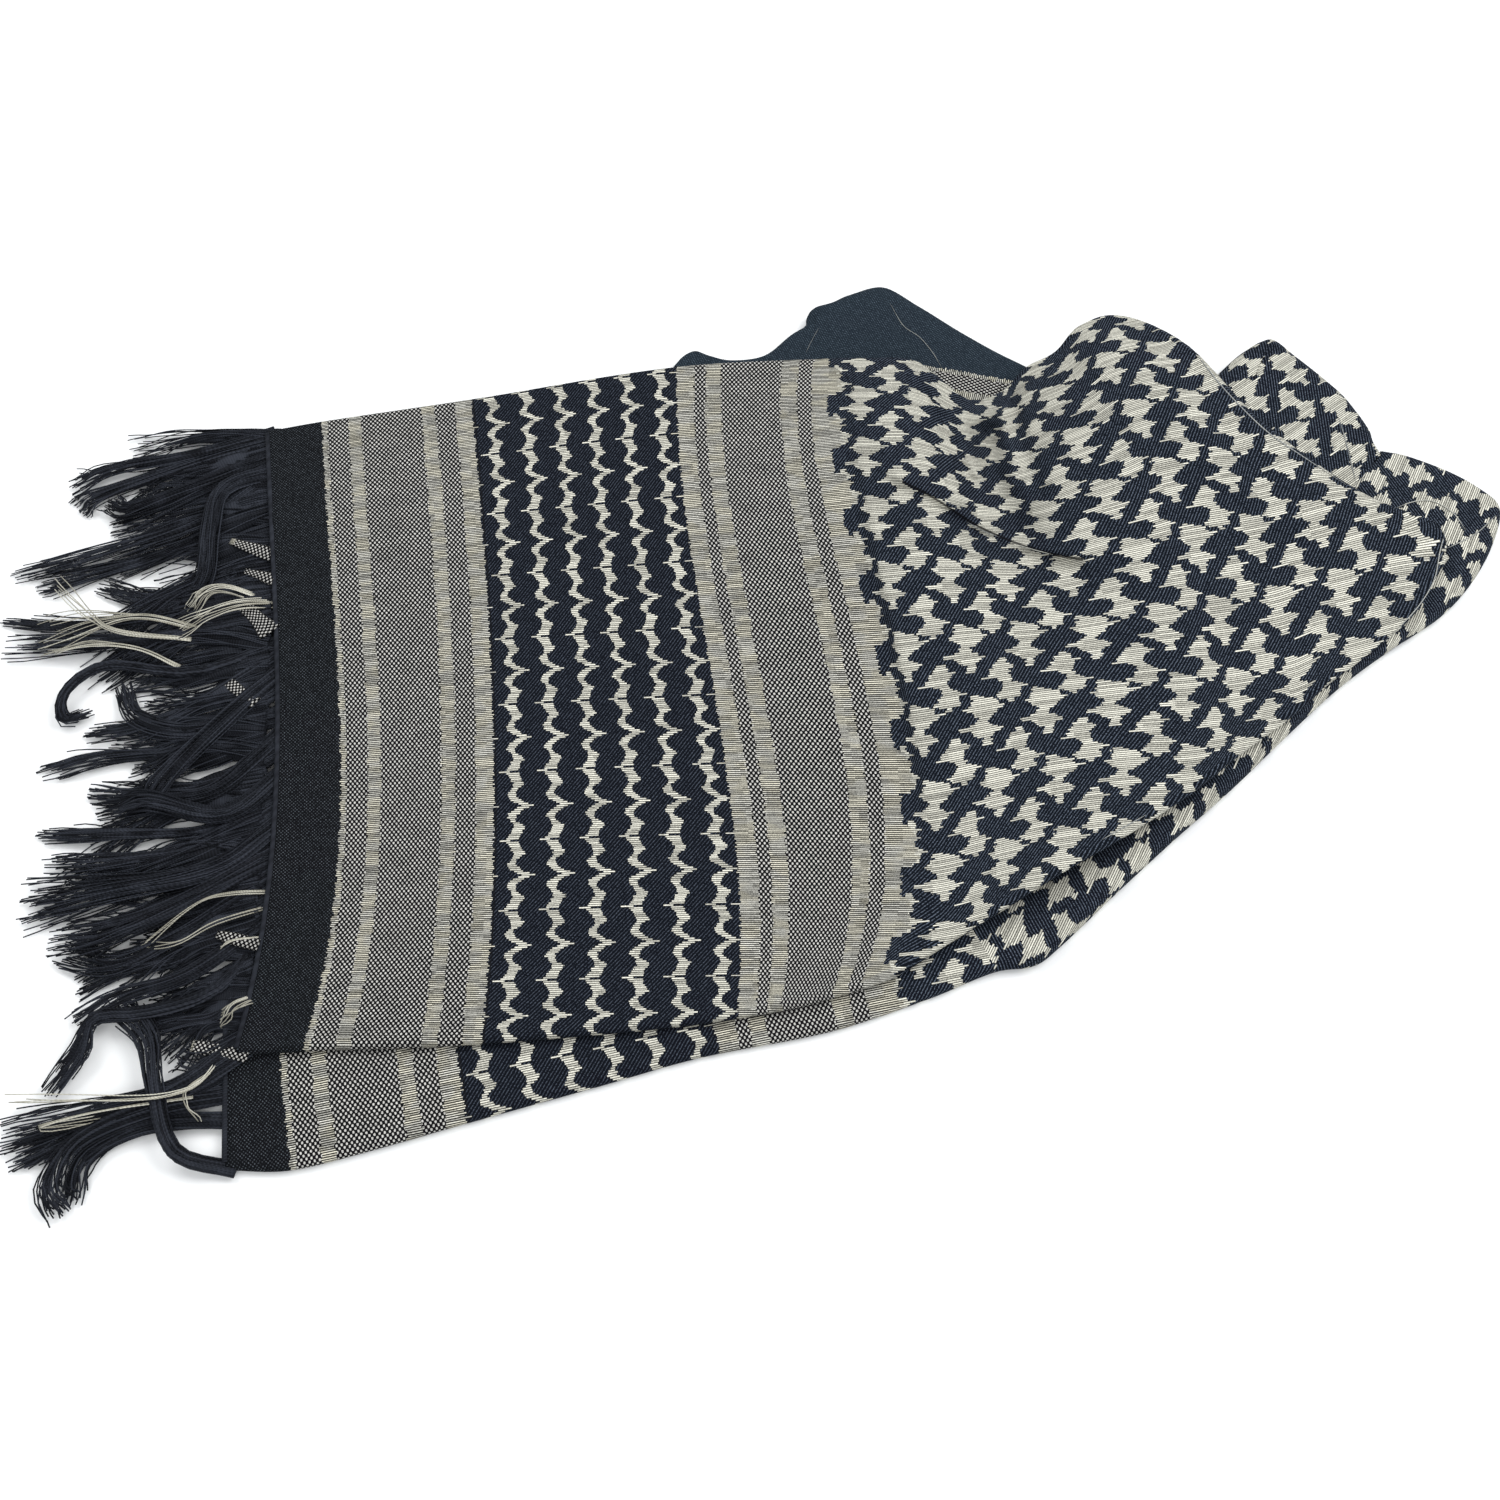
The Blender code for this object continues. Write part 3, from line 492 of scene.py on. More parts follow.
SMALL_MOTIF = (
    (-12, 0.0, 4.0), (-11, 0.0, 4.0), (-10, 2.0, 4.0), (-9, 2.5, 5.0), (-8, 3.5, 7.5),
    (-7, 4.5, 5.5), (-6, 5.0, 4.5), (-5, 6.0, 4.0), (-4, 6.5, 3.5), (-3, 10.0, 3.5),
    (-2, 2.5, 3.5), (-1, 1.5, 4.0), (0, 0.0, 4.5), (1, 0.0, 6.5), (2, 0.5, 8.0),
    (3, 1.0, 10.5), (4, 2.0, 7.5), (5, 3.0, 6.5), (6, 5.0, 6.5), (7, 5.0, 6.5),
    (8, 3.0, 6.0), (9, 0.0, 3.0), (10, 0.0, 3.0),
)
# thread from the right spike, left and right limits in mm from the column's start
SCALLOP = (
    (0, 12.0, 18.0), (1, 10.3, 15.8), (2, 8.8, 13.6), (3, 7.2, 12.4), (4, 6.3, 11.4),
    (5, 5.9, 10.3), (6, 5.7, 10.2), (7, 6.6, 10.0), (8, 7.3, 10.3), (9, 8.0, 11.3),
    (10, 8.2, 12.8), (11, 8.4, 14.0), (12, 8.4, 13.9), (13, 7.6, 13.0), (14, 7.4, 12.6),
    (15, 6.7, 12.0), (16, 6.0, 11.8), (17, 5.4, 11.6), (18, 2.4, 7.4),
)
# thread from the notch, reach of the ragged stripe past its start in mm
RAGGED = (
    (-18, 12.5), (-16, 14.5), (-14, 13.0), (-12, 16.0), (-10, 13.0), (-8, 11.0), (-7, 7.8),
    (0, 7.4), (7, 7.8), (8, 10.5), (10, 13.5), (12, 12.0), (14, 15.5), (16, 13.0), (18, 12.5),
)

# Colours: red, green, blue as linear light
CREAM_YARN = (0.80, 0.785, 0.68)
TAN_YARN = (0.74, 0.71, 0.585)
PALE_GREY_YARN = (0.70, 0.69, 0.65)
BAND_GREY = (0.71, 0.70, 0.63)
GROUND = (0.004, 0.005, 0.008)
GROUND_LINE = (0.060, 0.072, 0.095)
# Field ground and twill lines painted lighter: painted light and sheen, brighter towards the tip
LIT_FIELD_GROUND = (0.004, 0.0055, 0.009)
LIT_FIELD_LINE = (0.105, 0.128, 0.166)
# Dark and pale ends of the threads that paint the crease highlights
HIGHLIGHT_THREAD_DARK = (0.20, 0.22, 0.24)
HIGHLIGHT_THREAD_PALE = (0.70, 0.70, 0.62)
# Dark of the gaps between threads, also the colour of the painted pleat shadow
GAP_AND_SHADOW = (0.006, 0.006, 0.007)
BORDER = (0.0045, 0.005, 0.006)
BORDER_LINE = (0.085, 0.098, 0.112)
# Back border's plain ground, painted lighter and bluer than BORDER: painted light where the back tilts
# to the lamps
LIT_BACK_BORDER = (0.012, 0.018, 0.025)
LIT_BACK_LINE = (0.085, 0.115, 0.145)
OLD_YARN = (0.30, 0.285, 0.23)
FRINGE = (0.0035, 0.004, 0.0055)
# Pale end of the fringe yarn: partly lighter yarns of its own, partly painted shine and glints
FRINGE_SHINE = (0.040, 0.045, 0.058)
FLOOR = (0.86, 0.87, 0.87)
FLOOR_SIZE = 6.0
FLOOR_ROUGHNESS = 0.9
FLOOR_SPECULAR = 0.1

# Soft studio lights: x, y, z in metres, size in metres, watts
LAMPS = (
    (-0.9, 0.9, 1.6, 1.2, 14.0),
    (1.1, 0.3, 1.5, 1.2, 20.0),
    (0.0, -1.2, 1.7, 1.8, 15.0),
)
SKY = (0.95, 0.97, 1.0)
SKY_STRENGTH = 0.62


def raised(x, y, z):
    """The point at height z that is seen over the plan spot (x, y)."""
    share = z / EYE_HEIGHT
    return Vector((x * (1 - share), y - (y + EYE_BACK) * share, z)) - ORIGIN


def plan_spot(point):
    """The plan place, in mm, over which a point is seen."""
    place = point + ORIGIN
    share = place.z / EYE_HEIGHT
    return Vector((place.x, place.y + EYE_BACK * share)) / (1 - share) / MM


def flat(row):
    """A section's numbers in one list."""
    numbers = []
    for item in row:
        numbers.extend(item if isinstance(item, tuple) else (item,))
    return numbers


def hermite(start, end, start_slope, end_slope, share):
    square, cube = share * share, share * share * share
    return (
        start * (2 * cube - 3 * square + 1)
        + end * (3 * square - 2 * cube)
        + start_slope * (cube - 2 * square + share)
        + end_slope * (cube - square)
    )


def between_sections(rows, place):
    """Each column of a table at one place along its first column, on a smooth curve."""
    table = [flat(row) for row in rows]
    last = len(table) - 1
    index = 0
    while index < last - 1 and table[index + 1][0] < place:
        index += 1
    before, start = table[max(index - 1, 0)], table[index]
    end, after = table[index + 1], table[min(index + 2, last)]
    span = end[0] - start[0]
    share = min(max((place - start[0]) / span, 0.0), 1.0)
    start_span = end[0] - before[0]
    end_span = after[0] - start[0]
    values = []
    for column in range(1, len(start)):
        start_slope = (end[column] - before[column]) / start_span * span
        end_slope = (after[column] - start[column]) / end_span * span
        values.append(hermite(start[column], end[column], start_slope, end_slope, share))
    return values


def shares(count):
    """Even steps from 0 to 1."""
    return [step / count for step in range(count + 1)]


def numbered(points):
    """Plan places as the rows of a table, each with its number first."""
    return [(index,) + tuple(point) for index, point in enumerate(points)]


def smooth(share):
    share = min(max(share, 0.0), 1.0)
    return share * share * (3 - 2 * share)


def cubic_weights(share):
    """Weights of four points a third apart on the curve through them."""
    a, b, c, d = share, share - 1 / 3, share - 2 / 3, share - 1
    return (-4.5 * b * c * d, 13.5 * a * c * d, -13.5 * a * b * d, 4.5 * a * b * c)


def fold_height(cloth, row):
    """Height that the soft ridges and troughs add at one spot of the top sheet, in mm."""
    total = 0.0
    for from_cloth, from_row, to_cloth, to_row, half_width, height in TOP_FOLDS:
        start = Vector((from_cloth, from_row * ROW_LENGTH))
        line = Vector((to_cloth, to_row * ROW_LENGTH)) - start
        spot = Vector((cloth, row * ROW_LENGTH)) - start
        share = spot.dot(line) / line.length_squared
        nearest = min(max(share, 0.0), 1.0)
        distance = (spot - line * nearest).length
        if distance < FOLD_REACH * half_width:
            total += height * math.exp(-((distance / half_width) ** 2))
    return total


class TopSection:
    """One section across the top sheet, far lip to near lip."""

    def __init__(self, cloth):
        self.cloth = cloth
        values = between_sections(TOP_SECTIONS, cloth)
        self.far_row, self.near_row = values[0], values[1]
        self.points = [values[2 + 3 * i : 5 + 3 * i] for i in range(4)]

    def point(self, share):
        x, y, z = (
            sum(weight * place[axis] for weight, place in zip(cubic_weights(share), self.points))
            for axis in range(3)
        )
        row = self.far_row + (self.near_row - self.far_row) * share
        z += smooth(min(share, 1 - share) / FOLD_FADE) * fold_height(self.cloth, row)
        return raised(x * MM, y * MM, z * MM)


def edge_outward(cloth, share):
    """The level direction out of the top sheet at a point of its far or near edge."""
    low = TopSection(max(cloth - EDGE_STEP, TOP_SECTIONS[0][0]))
    high = TopSection(min(cloth + EDGE_STEP, TOP_SECTIONS[-1][0]))
    along = high.point(share) - low.point(share)
    outward = Vector((along.y, -along.x, 0)).normalized()
    here = TopSection(cloth)
    inward = here.point(0.5) - here.point(share)
    return -outward if outward.dot(inward) > 0 else outward


def fold_under(edge, outward, radius, lip):
    """Points of a rolled edge: half a turn out and down from the edge, then back under it.

    The lip under it rises by the cloth's thickness, so its wall stays off the floor.
    """
    points = []
    for step in range(1, FOLD_STEPS + 1):
        turn = math.pi * step / FOLD_STEPS
        down = Vector((0, 0, -radius * (1 - math.cos(turn))))
        points.append(edge + outward * radius * math.sin(turn) + down)
    last = points[-1]
    for share in shares(LIP_STEPS)[1:]:
        points.append(last - outward * lip * share + Vector((0, 0, CLOTH_WALL * share)))
    return points


def fold_reaches(radius, lip):
    """Lengths along the cloth, from the edge, of the points that fold_under gives."""
    turns = [math.pi * radius * step / FOLD_STEPS for step in range(1, FOLD_STEPS + 1)]
    return turns + [turns[-1] + lip * step / LIP_STEPS for step in range(1, LIP_STEPS + 1)]


def top_section_places(cloth):
    """Points and pattern rows across the top sheet, far lip to near lip."""
    section = TopSection(cloth)
    start, end = section.point(0), section.point(1)
    width = (end - start).length
    way = (end - start).normalized()
    far_out, near_out = edge_outward(cloth, 0.0), edge_outward(cloth, 1.0)
    far_start = FOLD_RADIUS / max(-way.dot(far_out), LEAST_ACROSS) / width
    near_start = 1 - FOLD_RADIUS / max(way.dot(near_out), LEAST_ACROSS) / width
    across = [far_start + (near_start - far_start) * share for share in shares(TOP_ACROSS)]
    middle = [section.point(share) for share in across]
    rows = [section.far_row + (section.near_row - section.far_row) * share for share in across]
    lip = min(FOLD_LIP, LIP_SHARE * (middle[-1] - middle[0]).length)
    reaches = [reach / MM / ROW_LENGTH for reach in fold_reaches(FOLD_RADIUS, lip)]
    far = fold_under(middle[0], far_out, FOLD_RADIUS, lip)
    near = fold_under(middle[-1], near_out, FOLD_RADIUS, lip)
    far_rows = [rows[0] - reach for reach in reaches]
    near_rows = [rows[-1] + reach for reach in reaches]
    return far[::-1] + middle + near, far_rows[::-1] + rows + near_rows


def woven_sheet(name, places, spots, finish):
    """A sheet of cloth from a grid: where each station lies, and its spot on the weave."""
    along, across = len(places) - 1, len(places[0]) - 1
    mesh = bmesh.new()
    bmesh.ops.create_grid(mesh, x_segments=along, y_segments=across, size=0.5)
    weave = mesh.loops.layers.uv.new("weave")
    stations = {}
    for vertex in mesh.verts:
        i = round((vertex.co.x + 0.5) * along)
        j = round((vertex.co.y + 0.5) * across)
        stations[vertex] = (i, j)
        vertex.co = places[i][j]
    for face in mesh.faces:
        first = min(stations[vertex][0] for vertex in face.verts)
        face.smooth = True
        for loop in face.loops:
            i, j = stations[loop.vert]
            loop[weave].uv = spots(i, j, first)
    mesh.normal_update()
    upward = sum(face.normal.z * face.calc_area() for face in mesh.faces)
    if upward < 0:
        bmesh.ops.reverse_faces(mesh, faces=mesh.faces[:])
    return finished_piece(name, mesh, finish)


def placed(name, data):
    """A new object in the scene."""
    made = bpy.data.objects.new(name, data)
    bpy.context.collection.objects.link(made)
    return made


def mesh_data(name, mesh):
    """Mesh data from a bmesh, which is freed."""
    data = bpy.data.meshes.new(name)
    mesh.to_mesh(data)
    mesh.free()
    return data


def finished_piece(name, mesh, finish):
    """A piece from its bmesh, riding on the part's one body."""
    data = mesh_data(name, mesh)
    data.materials.append(finish)
    piece = placed(name, data)
    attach(piece, "root")
    return piece


def give_wall(piece, thickness):
    """The cloth's thickness, inwards from its outer face."""
    wall = piece.modifiers.new("wall", "SOLIDIFY")
    wall.thickness = thickness
    wall.offset = -1.0
    wall.use_rim = True


def make_top_sheet(finish):
    lengths = [TOP_SECTIONS[-1][0] * share for share in shares(TOP_ALONG)]
    sections = [top_section_places(cloth) for cloth in lengths]
    places = [section[0] for section in sections]
    rows = [section[1] for section in sections]
    return woven_sheet("top_sheet", places, lambda i, j, first: (lengths[i], rows[i][j]), finish)


def fine_rows(rows, parts):
    """The rows of a strip's table with others on a smooth curve between them."""
    table = numbered(rows)
    return [between_sections(table, step / parts) for step in range((len(rows) - 1) * parts + 1)]


def strip_section(rows, index):
    """Points of one section of a folded strip, and their plan places with the fold laid out."""
    outer_x, outer_y, inner_x, inner_y, crest, inner_height = rows[index]
    radius = crest / 2 * MM
    outer = raised(outer_x * MM, outer_y * MM, radius)
    inner = raised(inner_x * MM, inner_y * MM, inner_height * MM)
    before, after = rows[max(index - 1, 0)], rows[min(index + 1, len(rows) - 1)]
    along = Vector((after[0] - before[0], after[1] - before[1], 0)).normalized()
    outward = Vector((along.y, -along.x, 0))
    level = Vector((outer.x - inner.x, outer.y - inner.y, 0))
    if outward.dot(level) < 0:
        outward = -outward
    edge = outer - outward * radius
    edge.z = crest * MM
    points = []
    for share in shares(STRIP_STEPS):
        point = inner.lerp(edge, share)
        rise = smooth((share - STRIP_FLAT_SHARE) / (1 - STRIP_FLAT_SHARE))
        point.z = (inner_height + (crest - inner_height) * rise) * MM
        points.append(point)
    lip = min(FOLD_LIP, STRIP_LIP_SHARE * level.length)
    laid = [plan_spot(point) for point in points]
    out = Vector((outward.x, outward.y))
    laid += [laid[-1] + out * reach / MM for reach in fold_reaches(radius, lip)]
    return points + fold_under(edge, outward, radius, lip), laid


def weave_spot(weave, spot):
    """Distance from the hem and pattern row of a plan place, where the weave lies at an angle."""
    (x, y), cloth, row, angle = weave
    turn = math.radians(angle)
    along = Vector((math.cos(turn), math.sin(turn)))
    toward = Vector((math.sin(turn), -math.cos(turn)))
    away = spot - Vector((x, y))
    return cloth + away.dot(along), row + away.dot(toward) / ROW_LENGTH


def make_strip_sheet(name, rows, weaves, finish):
    """A folded strip of cloth. weaves: from which of its rows each lie of the weave starts."""
    fine = fine_rows(rows, STRIP_PARTS)
    sections = [strip_section(fine, index) for index in range(len(fine))]
    places = [section[0] for section in sections]
    laid = [section[1] for section in sections]

    def spots(i, j, first):
        weave = weaves[0][1]
        for start, later in weaves[1:]:
            if first >= start * STRIP_PARTS:
                weave = later
        return weave_spot(weave, laid[i][j])

    return woven_sheet(name, places, spots, finish)


def inner_section(cloth):
    """The top row and far corner of the inner layers in one section."""
    far_inset, near_inset = between_sections(INNER_SECTIONS, cloth)
    section = TopSection(cloth)
    start, end = section.point(0), section.point(1)
    width = (end - start).length
    far_share = (FOLD_RADIUS + far_inset * MM) / width
    near_share = 1 - near_inset * MM / width
    under_lip = start.z - 2 * FOLD_RADIUS - INNER_UNDER_LIP
    top = []
    for part in shares(INNER_ACROSS):
        share = far_share + (near_share - far_share) * part
        point = section.point(share)
        past = (share - far_share) * width
        cap = under_lip if past < FOLD_LIP + INNER_PAST_LIP else point.z
        point.z = max(min(point.z - INNER_DROP, cap), INNER_LEAST)
        top.append(point)
    outward = Vector((start.x - end.x, start.y - end.y, 0)).normalized()
    side = []
    corner = top[0].copy()
    for share in shares(INNER_SIDE)[1:]:
        wave = abs(math.sin(math.pi * INNER_LAYERS * share))
        point = corner + outward * INNER_BULGE * wave ** 0.5
        point.z = corner.z * (1 - share) + INNER_FOOT
        side.append(point)
    return side[::-1] + top


def make_inner_layers(finish):
    first, last = INNER_SECTIONS[0][0], INNER_SECTIONS[-1][0]
    lengths = [first + (last - first) * share for share in shares(INNER_ALONG)]
    places = [inner_section(cloth) for cloth in lengths]

    def spots(i, j, first_station):
        return lengths[i], INNER_ROW + j / INNER_STATIONS_A_ROW

    return woven_sheet("inner_layers", places, spots, finish)


def tube_template(sides, steps):
    """A straight tube of unit radius and length along X, in steps."""
    mesh = bmesh.new()
    turn = Matrix.Rotation(math.pi / 2, 4, "Y") @ Matrix.Translation((0, 0, 0.5))
    bmesh.ops.create_cone(
        mesh, cap_ends=True, segments=sides, radius1=1.0, radius2=1.0, depth=1.0, matrix=turn
    )
    long_edges = [e for e in mesh.edges if abs(e.verts[0].co.x - e.verts[1].co.x) > 0.5]
    bmesh.ops.subdivide_edges(mesh, edges=long_edges, cuts=steps - 1)
    return mesh_data("tube_template", mesh)


def path_frames(path):
    """The level side and the rise at each place of a path."""
    frames = []
    last = len(path) - 1
    for index in range(last + 1):
        going = (path[min(index + 1, last)] - path[max(index - 1, 0)]).normalized()
        side = going.cross(Vector((0, 0, 1))).normalized()
        frames.append((side, side.cross(going).normalized()))
    return frames


def lay_tube(mesh, weave, template, path, widths, heights, shade):
    """A tube along a path, half as wide and high at each place as the lists say."""
    count, faces = len(mesh.verts), len(mesh.faces)
    mesh.from_mesh(template)
    mesh.verts.ensure_lookup_table()
    mesh.faces.ensure_lookup_table()
    steps = len(path) - 1
    frames = path_frames(path)
    spots = {}
    for vertex in mesh.verts[count:]:
        share = min(max(vertex.co.x, 0.0), 1.0)
        index = round(share * steps)
        side, rise = frames[index]
        around = math.atan2(vertex.co.z, vertex.co.y) / (2 * math.pi)
        spots[vertex] = (share, around)
        away = side * vertex.co.y * widths[index] + rise * vertex.co.z * heights[index]
        vertex.co = path[index] + away
    for face in mesh.faces[faces:]:
        face.smooth = len(face.verts) == 4
        for loop in face.loops:
            share, around = spots[loop.vert]
            loop[weave].uv = (share + YARN_STRIDE * round(shade * YARN_SHADES), around)


def lock_spine(points, start_height, height, steps):
    """Places along the middle of a lock, falling from the hem to where it lies."""
    tucked = ((points[0][0] + TUCK, points[0][1]),) + tuple(points[1:])
    rows = numbered(tucked)
    last = len(points) - 1
    spine = []
    for share in shares(steps):
        x, y = between_sections(rows, share * last)
        z = start_height + (height - start_height) * smooth(share / HEM_FALL)
        z -= height * SAG * smooth((share - SAG_FROM) / (1 - SAG_FROM))
        spine.append(raised(x * MM, y * MM, z * MM))
    return spine


def along_spine(spine, frames, share):
    """The place and side of a lock's middle at one share of its length."""
    last = len(spine) - 1
    place = min(max(share, 0.0), 1.0) * last
    index = min(int(place), last - 1)
    point = spine[index].lerp(spine[index + 1], place - index)
    if share > 1:
        point = point + (spine[last] - spine[last - 1]) * (share - 1) * last
    return point, frames[index][0]


def rooted(share):
    """A lock is flatter where it comes out from under the hem."""
    return ROOT_SHARE + (1 - ROOT_SHARE) * smooth(share / ROOT_END)


def lay_yarn(mesh, weave, template, lock, spine, frames, stray, radius, chance):
    """One yarn of a lock, in its own lane of the bundle and fanned at the tip."""
    _, width, fan, _ = lock
    angle = chance.uniform(*YARN_TURNS) * math.pi
    layer = chance.uniform(*YARN_LAYERS)
    drift = chance.uniform(-YARN_DRIFT, YARN_DRIFT)
    turn = chance.uniform(-YARN_TWIST, YARN_TWIST)
    reach = chance.uniform(*YARN_REACH) * (STRAY_REACH if stray else 1.0)
    wave = chance.uniform(*YARN_WAVE) * (STRAY_WAVE if stray else 1.0)
    phase, beats = chance.uniform(0, 2 * math.pi), chance.uniform(*YARN_BEATS)
    path = []
    for part in shares(YARN_STEPS):
        share = reach * part
        middle, side = along_spine(spine, frames, share)
        spread = width + (fan - width) * smooth((share - FAN_FROM) / (1 - FAN_FROM))
        loose = smooth((share - LOOSE_FROM) / (1 - LOOSE_FROM))
        turned = angle + turn * share * math.pi * (1 - loose)
        lane = math.cos(turned) * spread / 2 * layer + drift * fan * loose
        swing = math.sin(phase + beats * 2 * math.pi * share)
        lane += wave * swing * (STEADY_WAVE + loose)
        high = math.sin(turned) * width * BUNDLE_HEIGHT * layer
        high *= (1 - LOOSE_FLATTER * loose) * rooted(share)
        point = middle + side * lane * MM
        point.z = max(point.z + high * MM, FLOOR_GAP)
        path.append(point)
    radii = [radius * (1 - YARN_TAPER * share) for share in shares(YARN_STEPS)]
    lay_tube(mesh, weave, template, path, radii, radii, chance.random())


def lay_core(mesh, weave, template, lock, spine, chance):
    """The dense middle of a lock, under the yarns that show."""
    _, width, _, _ = lock
    widths, heights = [], []
    for share in shares(CORE_STEPS):
        fade = max(1 - smooth((share - CORE_FULL) / CORE_END), CORE_LEAST)
        widths.append(width * CORE_WIDTH * fade * MM)
        heights.append(width * CORE_HEIGHT * fade * rooted(share) * MM)
    path = [point.copy() for point in spine]
    for point, height in zip(path, heights):
        point.z = max(point.z, height + CORE_GAP)
    lay_tube(mesh, weave, template, path, widths, heights, chance.random())


def make_locks(name, locks, start_height, hem, chance, finish):
    """Loose locks of yarn from a hem, and the cord of the hem.

    locks: for each, its row of a table, then its yarns, its strays and the radius of a yarn.
    A lock with strays also has a dense core.
    """
    core = tube_template(CORE_SIDES, CORE_STEPS)
    yarn = tube_template(YARN_SIDES, YARN_STEPS)
    mesh = bmesh.new()
    weave = mesh.loops.layers.uv.new("weave")
    for lock, (yarns, strays, radius) in locks:
        points, _, _, height = lock
        spine = lock_spine(points, start_height, height, CORE_STEPS)
        frames = path_frames(spine)
        if strays:
            lay_core(mesh, weave, core, lock, spine, chance)
        for number in range(yarns + strays):
            lay_yarn(mesh, weave, yarn, lock, spine, frames, number >= yarns, radius, chance)
    if hem:
        last = len(hem) - 1
        path = [hem[round(last * share)] for share in shares(CORE_STEPS)]
        tucked = Vector((HEM_CORD_OUT, 0, HEM_CORD * HEM_CORD_DROP))
        path = [point - tucked for point in path]
        radii = [HEM_CORD] * (CORE_STEPS + 1)
        lay_tube(mesh, weave, core, path, radii, radii, HEM_SHADE)
    bpy.data.meshes.remove(core)
    bpy.data.meshes.remove(yarn)
    return finished_piece(name, mesh, finish)


def make_scrap(number, finish):
    """A checked end of the layer below, curled a little, on top of the locks."""
    x, y, end_x, end_y, width, height = HEM_SCRAPS[number]
    line = Vector((end_x - x, end_y - y))
    across = Vector((-line.y, line.x)).normalized()
    ragged, beats = SCRAP_RAGGED
    places = []
    for share in shares(SCRAP_STEPS):
        frayed = 1 - SCRAP_TAPER * share + ragged * math.sin(beats * share + number)
        row = []
        for side in (part - 0.5 for part in shares(SCRAP_STEPS)):
            spot = Vector((x, y)) + line * share + across * side * width * frayed
            z = height - SCRAP_DROOP * share * share + math.cos(math.pi * side) * SCRAP_CROWN
            row.append(raised(spot.x * MM, spot.y * MM, z * MM))
        places.append(row)
    long_mm = line.length / SCRAP_STEPS
    wide_rows = width / ROW_LENGTH / SCRAP_STEPS
    return woven_sheet(
        f"hem_scrap_{number}",
        places,
        lambda i, j, first: (SCRAP_CLOTH + i * long_mm, SCRAP_ROW + j * wide_rows),
        finish,
    )


def seen_on(trees, x, y):
    """The spot that is seen over a plan place, a little towards the eye."""
    sight = (raised(x * MM, y * MM, 0.0) - EYE).normalized()
    hits = [tree.ray_cast(EYE, sight) for tree in trees]
    away = min((hit[3] for hit in hits if hit[0]), default=sight.length)
    return EYE + sight * (away - CREASE_LIFT)


def make_crease_highlights(pieces, finish):
    """The pale threads along the sharpest creases and fold edges: painted highlights."""
    template = tube_template(YARN_SIDES, CREASE_STEPS)
    mesh = bmesh.new()
    weave = mesh.loops.layers.uv.new("weave")
    trees = []
    for piece in pieces:
        corners = [vertex.co for vertex in piece.data.vertices]
        faces = [face.vertices[:] for face in piece.data.polygons]
        trees.append(BVHTree.FromPolygons(corners, faces))
    for number, (radius, points) in enumerate(CREASE_HIGHLIGHTS):
        rows = numbered(points)
        last = len(points) - 1
        spots = [between_sections(rows, last * share) for share in shares(CREASE_STEPS)]
        path = [seen_on(trees, x, y) for x, y in spots]
        radii = [
            radius * MM * (CREASE_END + (1 - CREASE_END) * smooth(min(share, 1 - share) / CREASE_FADE))
            for share in shares(CREASE_STEPS)
        ]
        lay_tube(mesh, weave, template, path, radii, radii, number / len(CREASE_HIGHLIGHTS))
    bpy.data.meshes.remove(template)
    return finished_piece("crease_highlight_threads", mesh, finish)


def filler_locks(first, last, number, chance):
    """Short low locks between the ones read off the picture, along a hem's plan line."""
    locks = []
    for index in range(number):
        share = (index + 0.5) / number
        x = first[0] + (last[0] - first[0]) * share
        y = first[1] + (last[1] - first[1]) * share
        longest = between_sections(FILLER_REACH, share)[0]
        reach = longest * chance.uniform(FILLER_SHORTEST, 1.0)
        fall = chance.uniform(*FILLER_FALL) * reach
        side = chance.uniform(-FILLER_SWAY, FILLER_SWAY)
        middle = (x - FILLER_BEND[0] * reach, y - FILLER_BEND[1] * fall + side)
        end = (x - reach, y - fall)
        width, spread = chance.uniform(*FILLER_WIDTH), chance.uniform(*FILLER_SPREAD)
        locks.append((((x, y), middle, end), width, spread, chance.uniform(*FILLER_HEIGHT)))
    return locks


def maths_method(operation):
    """A method that adds one Math node after an amount."""

    def method(self, *others):
        return self.finish.maths(operation, self, *others)

    return method


class Amount:
    """A number that changes over a surface: a socket whose arithmetic adds Math nodes."""

    __add__ = __radd__ = maths_method("ADD")
    __sub__ = maths_method("SUBTRACT")
    __mul__ = __rmul__ = maths_method("MULTIPLY")
    __truediv__ = maths_method("DIVIDE")
    __gt__ = maths_method("GREATER_THAN")
    __lt__ = maths_method("LESS_THAN")
    __abs__ = maths_method("ABSOLUTE")
    floor = maths_method("FLOOR")
    rounded = maths_method("ROUND")
    fraction = maths_method("FRACT")
    sine = maths_method("SINE")
    cosine = maths_method("COSINE")
    least = maths_method("MINIMUM")
    most = maths_method("MAXIMUM")

    def __init__(self, finish, socket):
        self.finish = finish
        self.socket = socket

    def __rsub__(self, other):
        return self.finish.maths("SUBTRACT", other, self)

    def within(self, low, high):
        """1 between two limits, 0 outside them."""
        return (self > low) * (self < high)

    def rise(self, low, high):
        """0 below the first limit, 1 past the second, smooth between them."""
        ranged = self.finish.node(
            "ShaderNodeMapRange",
            {"interpolation_type": "SMOOTHSTEP"},
            {"Value": self, "From Min": low, "From Max": high},
        )
        return Amount(self.finish, ranged.outputs["Result"])


